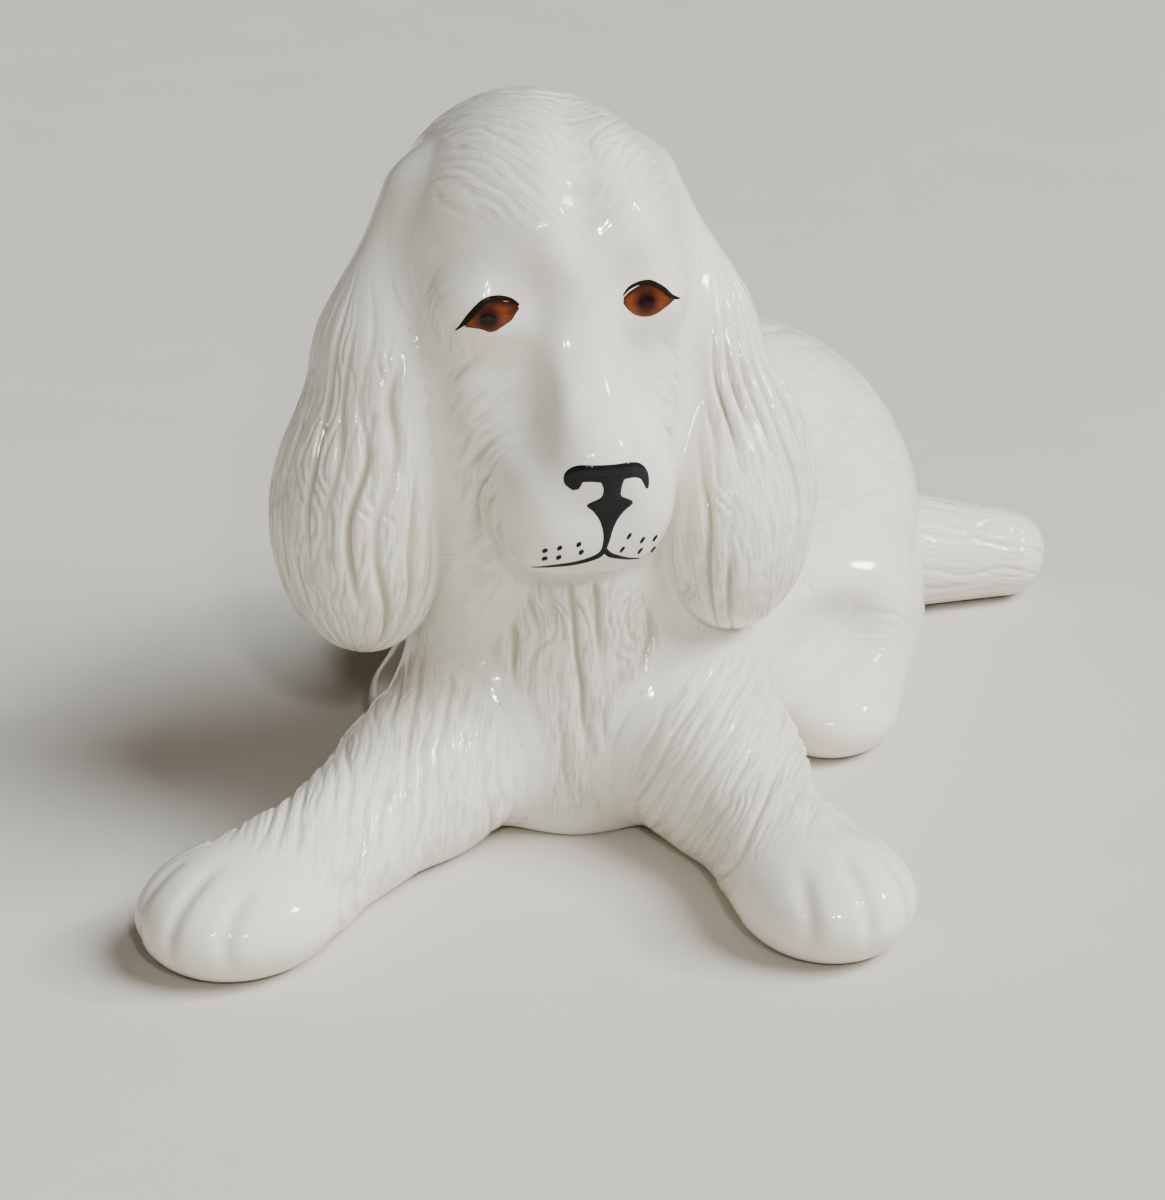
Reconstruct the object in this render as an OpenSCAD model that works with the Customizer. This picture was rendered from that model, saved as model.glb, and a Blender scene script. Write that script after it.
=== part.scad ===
// Lying spaniel ornament: hollow slip-cast porcelain pieces luted together with slip,
// glazed white, with the eyes, nose and mouth laid on in fired enamel.
// Frame: +Z up, the table at z = 0, the dog faces -Y and its left side is +X.
// Each casting is a list of clay lumps that melt into one another. Its skin is found by
// walking outwards from a spine inside it, and its neighbours, grown by the joint gap, are cut away.

/* [Torso] */
// Width of the chest
chest_width = 42; // [38:1:46]
// Depth of the chest, front to back
chest_depth = 40; // [36:1:44]
// Height of the top of the chest above the table
chest_top = 60; // [56:1:64]
// Width of the barrel of the body
barrel_width = 54; // [50:1:58]
// Length of the barrel of the body
barrel_length = 68; // [62:1:74]
// Height of the back above the table
back_height = 55; // [51:1:58]
// Width of the rump
rump_width = 62; // [58:1:66]
// Length of the rump
rump_length = 60; // [56:1:64]
// Thickness of the neck at the head
neck_width = 34; // [31:1:37]
// Height of the top of the neck above the table
neck_top = 73; // [70:1:75]
// Width of the ruff of hair down the chest
ruff_width = 24; // [20:1:28]

/* [Head] */
// Height of the middle of the skull above the table
head_height = 83.5; // [81:0.5:86]
// Turn of the head towards the dog's left, in degrees
head_turn = 15.5; // [8:0.5:22]
// Width of the skull
skull_width = 39.2; // [36:0.2:43]
// Length of the skull, front to back
skull_length = 46; // [43:1:49]
// Height of the skull
skull_height = 40; // [37:1:43]
// Width across the cheeks
cheek_width = 38; // [35:1:41]
// Reach of the nose in front of the middle of the skull
muzzle_reach = 33; // [31:0.5:36]
// Width of the muzzle at the lips
muzzle_width = 21.2; // [19:0.2:24]
// Width of the bridge of the nose
bridge_width = 13.2; // [11:0.2:15]
// Drop of the chin below the middle of the skull
chin_drop = 36; // [34:0.5:38]

/* [Ears] */
// Drop of the ear tips below the middle of the skull
ear_drop = 55; // [50:1:58]
// Breadth of an ear, front to back
ear_breadth = 30; // [26:1:34]
// Thickness of an ear at its widest
ear_thickness = 22; // [20:1:25]

/* [Forelegs] */
// Length of the left foreleg, shoulder to paw
left_foreleg_reach = 47; // [42:1:52]
// Angle of the left foreleg out from straight ahead, in degrees
left_foreleg_splay = 24; // [18:1:30]
// Length of the right foreleg, shoulder to paw
right_foreleg_reach = 57; // [52:1:62]
// Angle of the right foreleg out from straight ahead, in degrees
right_foreleg_splay = 36; // [30:1:42]
// Thickness of a foreleg at the shoulder
shoulder_width = 23; // [20:1:26]
// Thickness of a foreleg at the elbow
elbow_width = 21.5; // [19:0.5:24]
// Thickness of a foreleg at the wrist
wrist_width = 16; // [14:0.5:18]
// Width of a forepaw
paw_width = 23; // [20:1:26]
// Length of a forepaw
paw_length = 30; // [27:1:33]
// Height of a forepaw above the table
paw_height = 15; // [13:0.5:17]

/* [Hind legs and tail] */
// Width of a thigh
thigh_width = 28; // [25:1:31]
// Length of a thigh
thigh_length = 42; // [38:1:46]
// Height of a thigh above the table
thigh_height = 30; // [27:1:33]
// Thickness of a knee
knee_width = 16; // [14:1:18]
// Width of a hind foot
hind_foot_width = 20; // [17:1:23]
// Length of a hind foot
hind_foot_length = 26; // [22:1:30]
// Height of a hind foot above the table
hind_foot_height = 13.5; // [12:0.5:15]
// Length of the tail outside the rump
tail_length = 34; // [28:1:40]
// Thickness of the tail at its root
tail_root_width = 18; // [16:1:20]
// Thickness of the tail at its tip
tail_tip_width = 13.6; // [12:0.2:16]

/* [Porcelain] */
// Thickness of the cast wall
wall = 4; // [3:0.25:4.5]
// Gap between two castings, which the slip fills
joint_gap = 0.7; // [0.6:0.05:1]
// Thickness of the slip in a joint
slip_thickness = 0.3; // [0.2:0.05:0.35]
// Diameter of the firing vent under the torso
vent_diameter = 8; // [5:0.5:11]
// Diameter of the air passage through the neck
neck_passage_diameter = 12; // [8:1:14]
// Diameter of the air passage into each leg
limb_passage_diameter = 4; // [3:0.5:5]

/* [Enamel] */
// Thickness of a coat of enamel
enamel_thickness = 0.3; // [0.2:0.05:0.5]
// Distance between the middles of the eyes
eye_spacing = 21; // [18:0.5:24]
// Drop of the eyes below the middle of the skull
eye_drop = 5; // [3:0.5:7]
// Width of an iris
iris_width = 6.4; // [5:0.2:8]
// Height of an iris
iris_height = 4.6; // [3.6:0.2:6]
// Diameter of a pupil
pupil_diameter = 2.4; // [1.6:0.2:3.4]
// Width of the painted line along an upper eyelid
lid_line_width = 0.7; // [0.5:0.1:1]
// Width of the black of the nose
nose_width = 11.6; // [10:0.2:13]
// Height of the black of the nose, with its stem
nose_height = 12; // [10:0.5:13]
// Width of the painted mouth
mouth_width = 15; // [12:0.5:17]
// Width of the line of the mouth
mouth_line_width = 0.7; // [0.5:0.1:1]
// Diameter of a whisker dot
whisker_dot_diameter = 0.8; // [0.6:0.1:1.1]

/* [Hidden] */

porcelain_white = "#f3f1ea";
slip_white = "#e6e0d2";
iris_amber = "#9c4a1c";
pupil_brown = "#2a1710";
enamel_black = "#171514";

// Kinds of clay lump
LIMB = 0;
BALL = 1;
DENT = 2;

// The dog's sides
LEFT = 1;
RIGHT = -1;

$fn = 48;
far = 400;
tiny = 0.000001;
// The walk out to a skin: share of the way to it that a step takes, the shortest step,
// and how often the last step is narrowed
walk_share = 0.8;
walk_step = 0.6;
narrowings = 4;
// Cells round a hollow, as a share of those round its casting
hollow_cells = 0.6;
// Slip starts this far above its casting and this far inside the rim of the joint
slip_lift = 0.15;
slip_margin = 0.8;
// Enamel starts this far above the glaze
enamel_lift = 0.1;

// Clay lumps: an egg, or a hollow of that form, and a limb with a round thickness
function ball(at, size, turn = [0, 0, 0], soft = 4, kind = BALL) =
    let (r = size / 2, m = turned(turn))
    [kind, soft, at, r, [for (i = [0:2]) [m[0][i], m[1][i], m[2][i]] / r[i]]];
function limb(from, to, width_from, width_to, soft = 4) =
    [LIMB, soft, from, to - from, width_from / 2, (width_to - width_from) / 2];

// Turn about x, then y, then z, as a matrix
function turned(t) =
    let (cx = cos(t.x), sx = sin(t.x), cy = cos(t.y), sy = sin(t.y), cz = cos(t.z), sz = sin(t.z))
    [[cz * cy, cz * sy * sx - sz * cx, cz * sy * cx + sz * sx],
     [sz * cy, sz * sy * sx + cz * cx, sz * sy * cx - cz * sx],
     [-sy, cy * sx, cy * cx]];

// Distance from a point to one lump, less than zero inside it
function to_lump(p, lump) =
    lump[0] == LIMB ? to_limb(p - lump[2], lump)
    : to_ball(lump[4] * (p - lump[2]), lump[3]);
function to_limb(d, lump) =
    let (t = max(0, min(1, d * lump[3] / (lump[3] * lump[3]))))
    norm(d - t * lump[3]) - lump[4] - t * lump[5];
function to_ball(q, r) =
    let (k = norm(q))
    k < tiny ? -min(r) : (k - 1) * k / norm([q.x / r.x, q.y / r.y, q.z / r.z]);

// The lesser of two distances, with the corner between them melted over a width of soft
function melt(a, b, soft) =
    let (h = max(soft - abs(a - b), 0) / soft)
    min(a, b) - h * h * soft / 4;

// Distance from a point to a whole lot of lumps, melted together one after the other
function to_clay(p, lumps) = fold(p, lumps, 1, to_lump(p, lumps[0]));
function fold(p, lumps, i, sum) =
    i == len(lumps) ? sum
    : let (d = to_lump(p, lumps[i]), soft = lumps[i][1])
      fold(p, lumps, i + 1, lumps[i][0] == DENT ? -melt(-sum, d, soft) : melt(sum, d, soft));

// A casting is its lumps, the spine inside it, the cells of its skin around, over an end and along,
// and the castings that it gives way to. Its distance stays a joint gap clear of those.
function to_casting(p, casting) =
    max([to_clay(p, casting[0]), for (other = casting[3]) joint_gap - to_clay(p, other[0])]);
function alone(casting) = [casting[0], casting[1], casting[2], []];

// Way along a ray from inside a casting to where its distance passes a level
function way_out(from, dir, casting, level) =
    walk(from, dir, casting, level, 0, to_casting(from, casting) - level);
function walk(from, dir, casting, level, low, at_low) =
    let (
        high = low + max(-walk_share * at_low, walk_step),
        at_high = to_casting(from + high * dir, casting) - level
    )
    at_high > 0 ? narrow(from, dir, casting, level, low, at_low, high, at_high, narrowings)
    : walk(from, dir, casting, level, high, at_high);
function narrow(from, dir, casting, level, low, at_low, high, at_high, n) =
    let (mid = low - at_low * (high - low) / (at_high - at_low))
    n == 0 ? mid
    : let (at_mid = to_casting(from + mid * dir, casting) - level)
      at_mid > 0 ? narrow(from, dir, casting, level, low, at_low, mid, at_mid, n - 1)
      : narrow(from, dir, casting, level, mid, at_mid, high, at_high, n - 1);
function on_skin(from, dir, casting, level) = from + dir * way_out(from, dir, casting, level);

// Three square directions, the last one along a given axis
function square_to(axis) =
    let (w = axis / norm(axis), u = cross(w, abs(w.z) < 0.9 ? [0, 0, 1] : [1, 0, 0]), s = u / norm(u))
    [s, cross(w, s), w];
// Direction at a polar angle from the axis and a turn about it
function aim(frame, polar, turn) =
    cos(polar) * frame[2] + sin(polar) * (cos(turn) * frame[0] + sin(turn) * frame[1]);

// Two triangles for each cell of a grid of points whose first index starts at first
function cell_faces(first, rows, columns, wrap_rows, wrap_columns) = [
    for (i = [0 : rows - (wrap_rows ? 1 : 2)], j = [0 : columns - (wrap_columns ? 1 : 2)])
        let (
            next_i = (i + 1) % rows,
            next_j = (j + 1) % columns,
            a = first + i * columns + j,
            b = first + i * columns + next_j,
            c = first + next_i * columns + next_j,
            d = first + next_i * columns + j
        )
        each [[a, c, b], [a, d, c]]
];

// Closed skin of a casting at a level, by rays square to its spine and round the spine's two ends
module skin(casting, level = 0) {
    spine = casting[1];
    around = casting[2][0];
    cap = casting[2][1];
    along = casting[2][2];
    frame = square_to(spine[1] - spine[0]);
    stations = [
        for (i = [1 : cap]) [spine[0], 180 - 90 * i / cap],
        for (i = [1 : along - 1]) [spine[0] + (spine[1] - spine[0]) * i / along, 90],
        for (i = [0 : cap - 1]) [spine[1], 90 - 90 * i / cap]
    ];
    rings = len(stations);
    points = [
        on_skin(spine[0], -frame[2], casting, level),
        for (s = stations, j = [0 : around - 1])
            on_skin(s[0], aim(frame, s[1], 360 * j / around), casting, level),
        on_skin(spine[1], frame[2], casting, level)
    ];
    last = len(points) - 1;
    polyhedron(points, concat(
        [for (j = [0 : around - 1]) [0, 1 + j, 1 + (j + 1) % around]],
        cell_faces(1, rings, around, false, true),
        [for (j = [0 : around - 1]) [last - around + j, last, last - around + (j + 1) % around]]
    ), convexity = 6);
}

// Casting with a flat foot on the table and seats for its neighbours, less what else is given
module solid_casting(casting) {
    difference() {
        skin(alone(casting));
        for (other = casting[3]) skin(alone(other), joint_gap);
        table();
        children();
    }
}

// The same with a hollow inside its wall
module hollow_casting(casting) {
    solid_casting(casting) {
        skin(hollow(casting), -wall);
        children();
    }
}

// The casting that a hollow follows, with fewer cells and a floor as thick as the wall
function hollow(casting) = [
    casting[0], casting[1],
    [round(casting[2][0] * hollow_cells), casting[2][1] - 1, max(2, casting[2][2] - 2)],
    concat(casting[3], [[[table_lump]]])
];
table_lump = ball([0, 0, -far / 2 - joint_gap], [far * 20, far * 20, far], soft = 1);

// The space under the table top
module table() {
    translate([-far / 2, -far / 2, -far]) cube(far);
}

// Round passage between two points
module passage(ends, diameter) {
    way = ends[1] - ends[0];
    translate(ends[0])
        rotate([0, acos(way.z / norm(way)), atan2(way.y, way.x)]) cylinder(h = norm(way), d = diameter);
}

// Layer of slip on one casting, as far as the other one covers it, less any passage through it
module slip_layer(casting, guest) {
    difference() {
        intersection() {
            skin(alone(casting), slip_lift + slip_thickness);
            skin(alone(guest), -slip_margin);
        }
        skin(alone(casting), slip_lift);
        for (other = concat(casting[3], guest[3]))
            if (other[0] != casting[0]) skin(alone(other), joint_gap);
        table();
        children();
    }
}

// Closed coat of enamel over a grid of places on the face
module coat(grid, from, lift = enamel_lift) {
    columns = len(grid[0]);
    rows = len(grid);
    under = [for (row = grid) [for (place = row) on_face(place, from, lift)]];
    over = [for (row = grid) [for (place = row) on_face(place, from, lift + enamel_thickness)]];
    count = rows * columns;
    edge = concat(
        [for (i = [0 : rows - 1]) i * columns],
        [for (j = [1 : columns - 1]) (rows - 1) * columns + j],
        [for (i = [rows - 2 : -1 : 0]) i * columns + columns - 1],
        [for (j = [columns - 2 : -1 : 1]) j]
    );
    polyhedron(
        concat([for (row = under) each row], [for (row = over) each row]),
        concat(
            cell_faces(0, rows, columns, false, false),
            [for (f = cell_faces(count, rows, columns, false, false)) [f[0], f[2], f[1]]],
            [for (k = [0 : len(edge) - 1])
                let (a = edge[k], b = edge[(k + 1) % len(edge)])
                each [[a, a + count, b + count], [a, b + count, b]]]
        ), convexity = 6);
}
// Point of the head straight in front of a place across and up from the middle of the skull
function on_face(place, from, level) =
    on_skin(in_head([place.x, from, place.y]), head_turned * [0, -1, 0], head_cast, level);

// Grid over an egg-shaped spot, in columns of chords that stop just short of its two ends
spot_end = 12;
function spot(middle, width, height, rows = 7, columns = 4) = [
    for (i = [0 : rows - 1])
        let (
            angle = 180 - spot_end - (180 - 2 * spot_end) * i / (rows - 1),
            chord = sin(angle) * height / 2
        )
        [for (j = [0 : columns - 1])
            middle + [cos(angle) * width / 2, chord * (2 * j / (columns - 1) - 1)]]
];

// The head's own frame: across to the dog's left, forwards and up from the middle of the skull
head_turned = turned([0, 0, head_turn]);
head_at = [-6.2, -18, head_height];
function in_head(p) = head_at + head_turned * [p.x, -p.y, p.z];
function head_ball(at, size, turn = 0, soft = 4, kind = BALL, lean = 0) =
    ball(in_head(at), size, [0, lean, head_turn + turn], soft, kind);
function head_limb(from, to, width_from, width_to, soft = 4) =
    limb(in_head(from), in_head(to), width_from, width_to, soft);

// Torso: chest, barrel, rump, neck and ruff
chest_at = [-2, -10, 24];
barrel_at = [6, 14, 22];
rump_at = [20, 34, 22];
ruff_at = [chest_at.x + 1, chest_at.y - 12, 26];
ruff_depth = 20;
ruff_height = 64;
neck_foot = [-4, -8, 40];
neck_head = [-5.5, -11.5, neck_top - neck_width / 2];
neck_flare = 3;
torso_lumps = [
    ball(chest_at, [chest_width, chest_depth, 2 * (chest_top - chest_at.z)]),
    ball(barrel_at, [barrel_width, barrel_length, 2 * (back_height - barrel_at.z)], soft = 10),
    ball(rump_at, [rump_width, rump_length, 2 * (back_height - rump_at.z)], soft = 10),
    limb(neck_foot, neck_head, neck_width + neck_flare, neck_width, soft = 8),
    ball(ruff_at, [ruff_width, ruff_depth, ruff_height], soft = 5)
];
torso_spine = [[12, 44, 25], [-3, -8, 40]];

// Head: skull, forehead, cheeks, face, bridge, lips, nose, chin and the hollows of the eyes
skull_at = [0, -3, 0];
forehead_at = [0, 6, 3];
forehead_size = [29, 25, 28];
cheek_size = [20, 30, 34];
face_root = [0, 3, -7];
face_root_width = 33;
bridge_root = [0, 11, -2];
bridge_flare = 1.2;
lip_size = [12, 14.8, 14.4];
nose_size = [11.2, 9.2, 8.8];
nose_at = [0, muzzle_reach - nose_size.y / 2, 14.5 - chin_drop];
chin_size = [14, 16, 7.2];
eye_hollow_size = [8, 12, 10];
function cheek_at(side) = [side * (cheek_width - cheek_size.x) / 2, 3, -18];
function lip_at(side) = [side * (muzzle_width - lip_size.x) / 2, muzzle_reach - 8.8, 9.5 - chin_drop];
function eye_hollow_at(side) = [side * eye_spacing / 2, muzzle_reach - 6.5, -4 - eye_drop];
head_lumps = [
    head_ball(skull_at, [skull_width, skull_length, skull_height]),
    head_ball(forehead_at, forehead_size, soft = 8),
    for (side = [RIGHT, LEFT]) head_ball(cheek_at(side), cheek_size, soft = 8),
    head_limb(face_root, [0, muzzle_reach - 16, 10.5 - chin_drop], face_root_width, muzzle_width, soft = 7),
    head_limb(bridge_root, nose_at + [0, -3.2, 3], bridge_width + bridge_flare, bridge_width, soft = 8),
    for (side = [RIGHT, LEFT]) head_ball(lip_at(side), lip_size, soft = 6),
    head_ball(nose_at, nose_size),
    head_ball([0, muzzle_reach - 11.5, 3.5 - chin_drop], chin_size, soft = 5),
    for (side = [RIGHT, LEFT])
        head_ball(eye_hollow_at(side), eye_hollow_size, soft = 8, kind = DENT)
];
head_spine = [in_head([0, 0, 3]), in_head([0, muzzle_reach - 12.5, -20])];

// Ears: a root on the skull, a flap down the cheek and a full lobe, given for the dog's left side
ear_root = [skull_width / 2 - 4, -4, 4.5];
ear_root_width = 11;
ear_neck = [ear_root.x + 5, -1, -12];
ear_neck_width = 16;
flap_at = [ear_root.x + 8, 1, -22];
flap_size = [ear_thickness - 5, ear_breadth - 4, 36];
flap_lean = -16;
lobe_across = ear_root.x + 10.7;
lobe_height = 33;
function on_side(side, p) = [side * p.x, p.y, p.z];
function ear_lumps(side, turn, forwards, growth) = [
    head_limb(on_side(side, ear_root), on_side(side, ear_neck), ear_root_width, ear_neck_width),
    head_ball(on_side(side, flap_at), flap_size, lean = flap_lean * side, soft = 8),
    head_ball([side * lobe_across, forwards, (lobe_height + growth) / 2 - ear_drop],
        [ear_thickness, ear_breadth + 3 * growth, lobe_height + growth], turn * side, soft = 8)
];
left_ear_lumps = ear_lumps(LEFT, -24, 5, 1.2);
right_ear_lumps = ear_lumps(RIGHT, -12, 3, 0);
function ear_spine(side) = [
    in_head([side * (ear_root.x + 7.8), -1, -10]),
    in_head([side * lobe_across, 4, 12 - ear_drop])
];

// Forelegs: shoulder, elbow, wrist and paw along a straight splay.
// A paw's lump goes down past the table, which cuts its foot flat.
elbow_reach = 15;
paw_lump_height = 16.6;
wrist_sink = 0.5;
function foreleg_point(shoulder, splay, reach, height) =
    [shoulder.x + reach * sin(splay), shoulder.y - reach * cos(splay), height];
function foreleg_lumps(shoulder, splay, reach) =
    let (
        elbow = foreleg_point(shoulder, splay, elbow_reach, elbow_width / 2),
        wrist = foreleg_point(shoulder, splay, reach - paw_length / 2, wrist_width / 2 - wrist_sink),
        paw = foreleg_point(shoulder, splay, reach, paw_height - paw_lump_height / 2)
    )
    [
        limb(shoulder, elbow, shoulder_width, elbow_width),
        limb(elbow, wrist, elbow_width, wrist_width, soft = 5),
        ball(paw, [paw_width, paw_length, paw_lump_height], [0, 0, splay], soft = 5)
    ];
left_shoulder = [chest_at.x + chest_width / 2 - 5, chest_at.y - 8, 18.5];
right_shoulder = [chest_at.x - chest_width / 2 + 9, chest_at.y - 10, 17];
left_foreleg_lumps = foreleg_lumps(left_shoulder, left_foreleg_splay, left_foreleg_reach);
right_foreleg_lumps = foreleg_lumps(right_shoulder, -right_foreleg_splay, right_foreleg_reach);
function foreleg_spine(shoulder, splay, reach) = [
    foreleg_point(shoulder, splay, elbow_reach, elbow_width / 2),
    foreleg_point(shoulder, splay, reach, paw_height / 2 - wrist_sink)
];

// Hind legs: a thigh, a knee that reaches forwards and a foot, cut flat as a paw is
hind_foot_lump_height = 15;
knee_flare = 4;
function hind_leg_lumps(hip, knee, foot, turn) = [
    ball(hip, [thigh_width, thigh_length, 2 * (thigh_height - hip.z)], [0, 0, turn]),
    limb(knee, hip + [0, 15 - thigh_length * 2 / 3, 0.5], knee_width, knee_width + knee_flare, soft = 6),
    ball([foot.x, foot.y, hind_foot_height - hind_foot_lump_height / 2],
        [hind_foot_width, hind_foot_length, hind_foot_lump_height], soft = 5)
];
left_hip = [rump_at.x + rump_width / 2 - thigh_width / 2, rump_at.y - 8, 14];
right_hip = [barrel_at.x - barrel_width / 2 + thigh_width / 4, rump_at.y - 8, 14];
left_hind_leg_lumps =
    hind_leg_lumps(left_hip, left_hip + [-11, -29, -1], left_hip + [-1, -20, 0], -8);
right_hind_leg_lumps =
    hind_leg_lumps(right_hip, right_hip + [-5, -24, -2], right_hip + [-7, -18, 0], 12);
function hind_leg_spine(hip) = [hip + [-1, -16, -2], hip + [0, 4, 0]];

// Tail: a tapered limb from under the rump, along the table
tail_turn = 15;
tail_hidden = 10;
tail_root = [rump_at.x + rump_width / 2 - 11, rump_at.y + rump_length / 2 - 12, tail_root_width / 2];
function tail_point(reach, width) =
    tail_root + [reach * cos(tail_turn), reach * sin(tail_turn), (width - tail_root_width) / 2];
tail_end = tail_point(tail_length - tail_tip_width / 2, tail_tip_width);
tail_lumps = [limb(tail_root, tail_end, tail_root_width, tail_tip_width)];
tail_spine = [
    tail_point(tail_hidden, tail_root_width),
    tail_point(tail_length - tail_tip_width, tail_tip_width)
];

// Castings, with the cells of their skins
torso_cells = [36, 7, 10];
head_cells = [40, 8, 12];
ear_cells = [24, 6, 8];
limb_cells = [24, 5, 6];
tail_cells = [20, 4, 5];
left_hind_leg_cast = [left_hind_leg_lumps, hind_leg_spine(left_hip), limb_cells, []];
right_hind_leg_cast = [right_hind_leg_lumps, hind_leg_spine(right_hip), limb_cells, []];
torso_cast = [torso_lumps, torso_spine, torso_cells, [left_hind_leg_cast, right_hind_leg_cast]];
head_cast = [head_lumps, head_spine, head_cells, [alone(torso_cast)]];
left_foreleg_cast = [
    left_foreleg_lumps, foreleg_spine(left_shoulder, left_foreleg_splay, left_foreleg_reach),
    limb_cells, [alone(torso_cast), left_hind_leg_cast]
];
right_foreleg_cast = [
    right_foreleg_lumps, foreleg_spine(right_shoulder, -right_foreleg_splay, right_foreleg_reach),
    limb_cells, [alone(torso_cast), right_hind_leg_cast]
];
left_ear_cast = [
    left_ear_lumps, ear_spine(LEFT), ear_cells,
    [alone(head_cast), alone(torso_cast), alone(left_foreleg_cast)]
];
right_ear_cast = [
    right_ear_lumps, ear_spine(RIGHT), ear_cells,
    [alone(head_cast), alone(torso_cast), alone(right_foreleg_cast)]
];
tail_cast = [tail_lumps, tail_spine, tail_cells, [alone(torso_cast), left_hind_leg_cast]];

// Joint axes, from the hollow of one casting to the hollow of the other
neck_joint = [torso_spine[1] + [-2, -2, 8], head_spine[0]];
left_foreleg_joint = [[2, -8, 26], left_foreleg_cast[1][0]];
right_foreleg_joint = [[-6, -8, 26], right_foreleg_cast[1][0]];
left_hind_leg_joint = [left_hind_leg_cast[1][1], [9, 28, 25]];
right_hind_leg_joint = [right_hind_leg_cast[1][1], [10, 30, 26]];
limb_joints = [left_foreleg_joint, right_foreleg_joint, left_hind_leg_joint, right_hind_leg_joint];
vent_at = [6, 12];
vent_length = wall + 8;

// Castings of white porcelain
module torso() {
    color(porcelain_white) hollow_casting(torso_cast) {
        translate([vent_at.x, vent_at.y, -1]) cylinder(h = vent_length, d = vent_diameter);
        passage(neck_joint, neck_passage_diameter);
        for (joint = limb_joints) passage(joint, limb_passage_diameter);
    }
}

module head() {
    color(porcelain_white) hollow_casting(head_cast) passage(neck_joint, neck_passage_diameter);
}

module leg(casting, joint) {
    color(porcelain_white) hollow_casting(casting) passage(joint, limb_passage_diameter);
}

// Ears and tail are thin enough to be cast solid
module solid_piece(casting) {
    color(porcelain_white) solid_casting(casting);
}

// Slip joints between the castings
module slip(casting, guest) {
    color(slip_white) slip_layer(casting, guest) children();
}

// Enamel of the face. Rays start inside the head, this far forwards of the middle of the skull.
eye_depth = 6;
muzzle_depth = muzzle_reach - 14;
pupil_lift = 2 * enamel_lift + enamel_thickness;
nose_top = nose_at.z + 3.4;
function eye_at(side) = [side * eye_spacing / 2, -eye_drop];

module iris(side) {
    color(iris_amber) coat(spot(eye_at(side), iris_width, iris_height), eye_depth);
}

module pupil(side) {
    color(pupil_brown)
        coat(spot(eye_at(side), pupil_diameter, pupil_diameter, 5, 3), eye_depth, pupil_lift);
}

// Line along the upper lid that runs on past the outer corner of the eye
module lid_line(side) {
    tail = 1.6;
    clear = 0.15;
    start = 150;
    cells = 7;
    tail_cells = 2;
    grid = [
        for (i = [0 : cells])
            let (
                angle = start - start * i / cells,
                stretch = tail * max(0, i - cells + tail_cells) / tail_cells,
                reach = cos(angle) * (iris_width / 2 + stretch),
                rise = sin(angle) * iris_height / 2 + clear
            )
            [[side * reach, rise], [side * reach, rise + lid_line_width]]
    ];
    color(enamel_black) coat(
        side == LEFT ? [for (row = grid) [for (p = row) eye_at(side) + p]]
        : [for (i = [cells : -1 : 0]) [for (p = grid[i]) eye_at(side) + p]], eye_depth);
}

// Black of the nose: a broad bar that narrows to a stem above the mouth
module nose_enamel() {
    stem_width = 1.2;
    stem_start = 0.8;
    taper = 1.2;
    rows = 8;
    columns = 4;
    grid = [
        for (i = [0 : rows])
            let (
                t = i / rows,
                share = pow(cos(90 * min(1, t / stem_start)), taper),
                width = stem_width + (nose_width - stem_width) * share
            )
            [for (j = [0 : columns])
                [width * (j / columns - 0.5), nose_top - t * (nose_height - mouth_line_width)]]
    ];
    color(enamel_black)
        coat([for (j = [0 : columns]) [for (i = [rows : -1 : 0]) grid[i][j]]], muzzle_depth);
}

// Line of the mouth, drooping to both sides from under the nose
module mouth_line() {
    droop = 1.6;
    curl = 0.7;
    clear = 0.3;
    cells = 10;
    top = nose_top - nose_height - clear;
    color(enamel_black) coat([
        for (i = [0 : cells])
            let (
                x = mouth_width * (i / cells - 0.5),
                y = top - droop * pow(abs(2 * x / mouth_width), curl)
            )
            [[x, y - mouth_line_width], [x, y]]
    ], muzzle_depth);
}

// Two rows of whisker dots on each lip, the lower one a dot shorter and set outwards
module whisker_dots() {
    first = [3.2, -5.2];
    spacing = 1.7;
    row_step = [0.8, -1.3];
    for (side = [RIGHT, LEFT], row = [0, 1], k = [0 : 2 - row])
        let (place = first + [spacing * k, 0] + row * row_step)
        color(enamel_black) coat(
            spot([side * place.x, nose_at.z + place.y], whisker_dot_diameter, whisker_dot_diameter, 4, 3),
            muzzle_depth);
}

torso();
head();
solid_piece(left_ear_cast);  // left_ear
solid_piece(right_ear_cast);  // right_ear
leg(left_foreleg_cast, left_foreleg_joint);  // left_foreleg
leg(right_foreleg_cast, right_foreleg_joint);  // right_foreleg
leg(left_hind_leg_cast, left_hind_leg_joint);  // left_hind_leg
leg(right_hind_leg_cast, right_hind_leg_joint);  // right_hind_leg
solid_piece(tail_cast);  // tail
slip(torso_cast, head_cast) passage(neck_joint, neck_passage_diameter);  // neck_slip
slip(head_cast, left_ear_cast);  // left_ear_slip
slip(head_cast, right_ear_cast);  // right_ear_slip
slip(torso_cast, left_foreleg_cast) passage(left_foreleg_joint, limb_passage_diameter);  // left_foreleg_slip
slip(torso_cast, right_foreleg_cast) passage(right_foreleg_joint, limb_passage_diameter);  // right_foreleg_slip
slip(left_hind_leg_cast, torso_cast) passage(left_hind_leg_joint, limb_passage_diameter);  // left_hind_leg_slip
slip(right_hind_leg_cast, torso_cast) passage(right_hind_leg_joint, limb_passage_diameter);  // right_hind_leg_slip
slip(torso_cast, tail_cast);  // tail_slip
iris(LEFT);  // left_iris
iris(RIGHT);  // right_iris
pupil(LEFT);  // left_pupil
pupil(RIGHT);  // right_pupil
lid_line(LEFT);  // left_lid_line
lid_line(RIGHT);  // right_lid_line
nose_enamel();
mouth_line();
whisker_dots();
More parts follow.
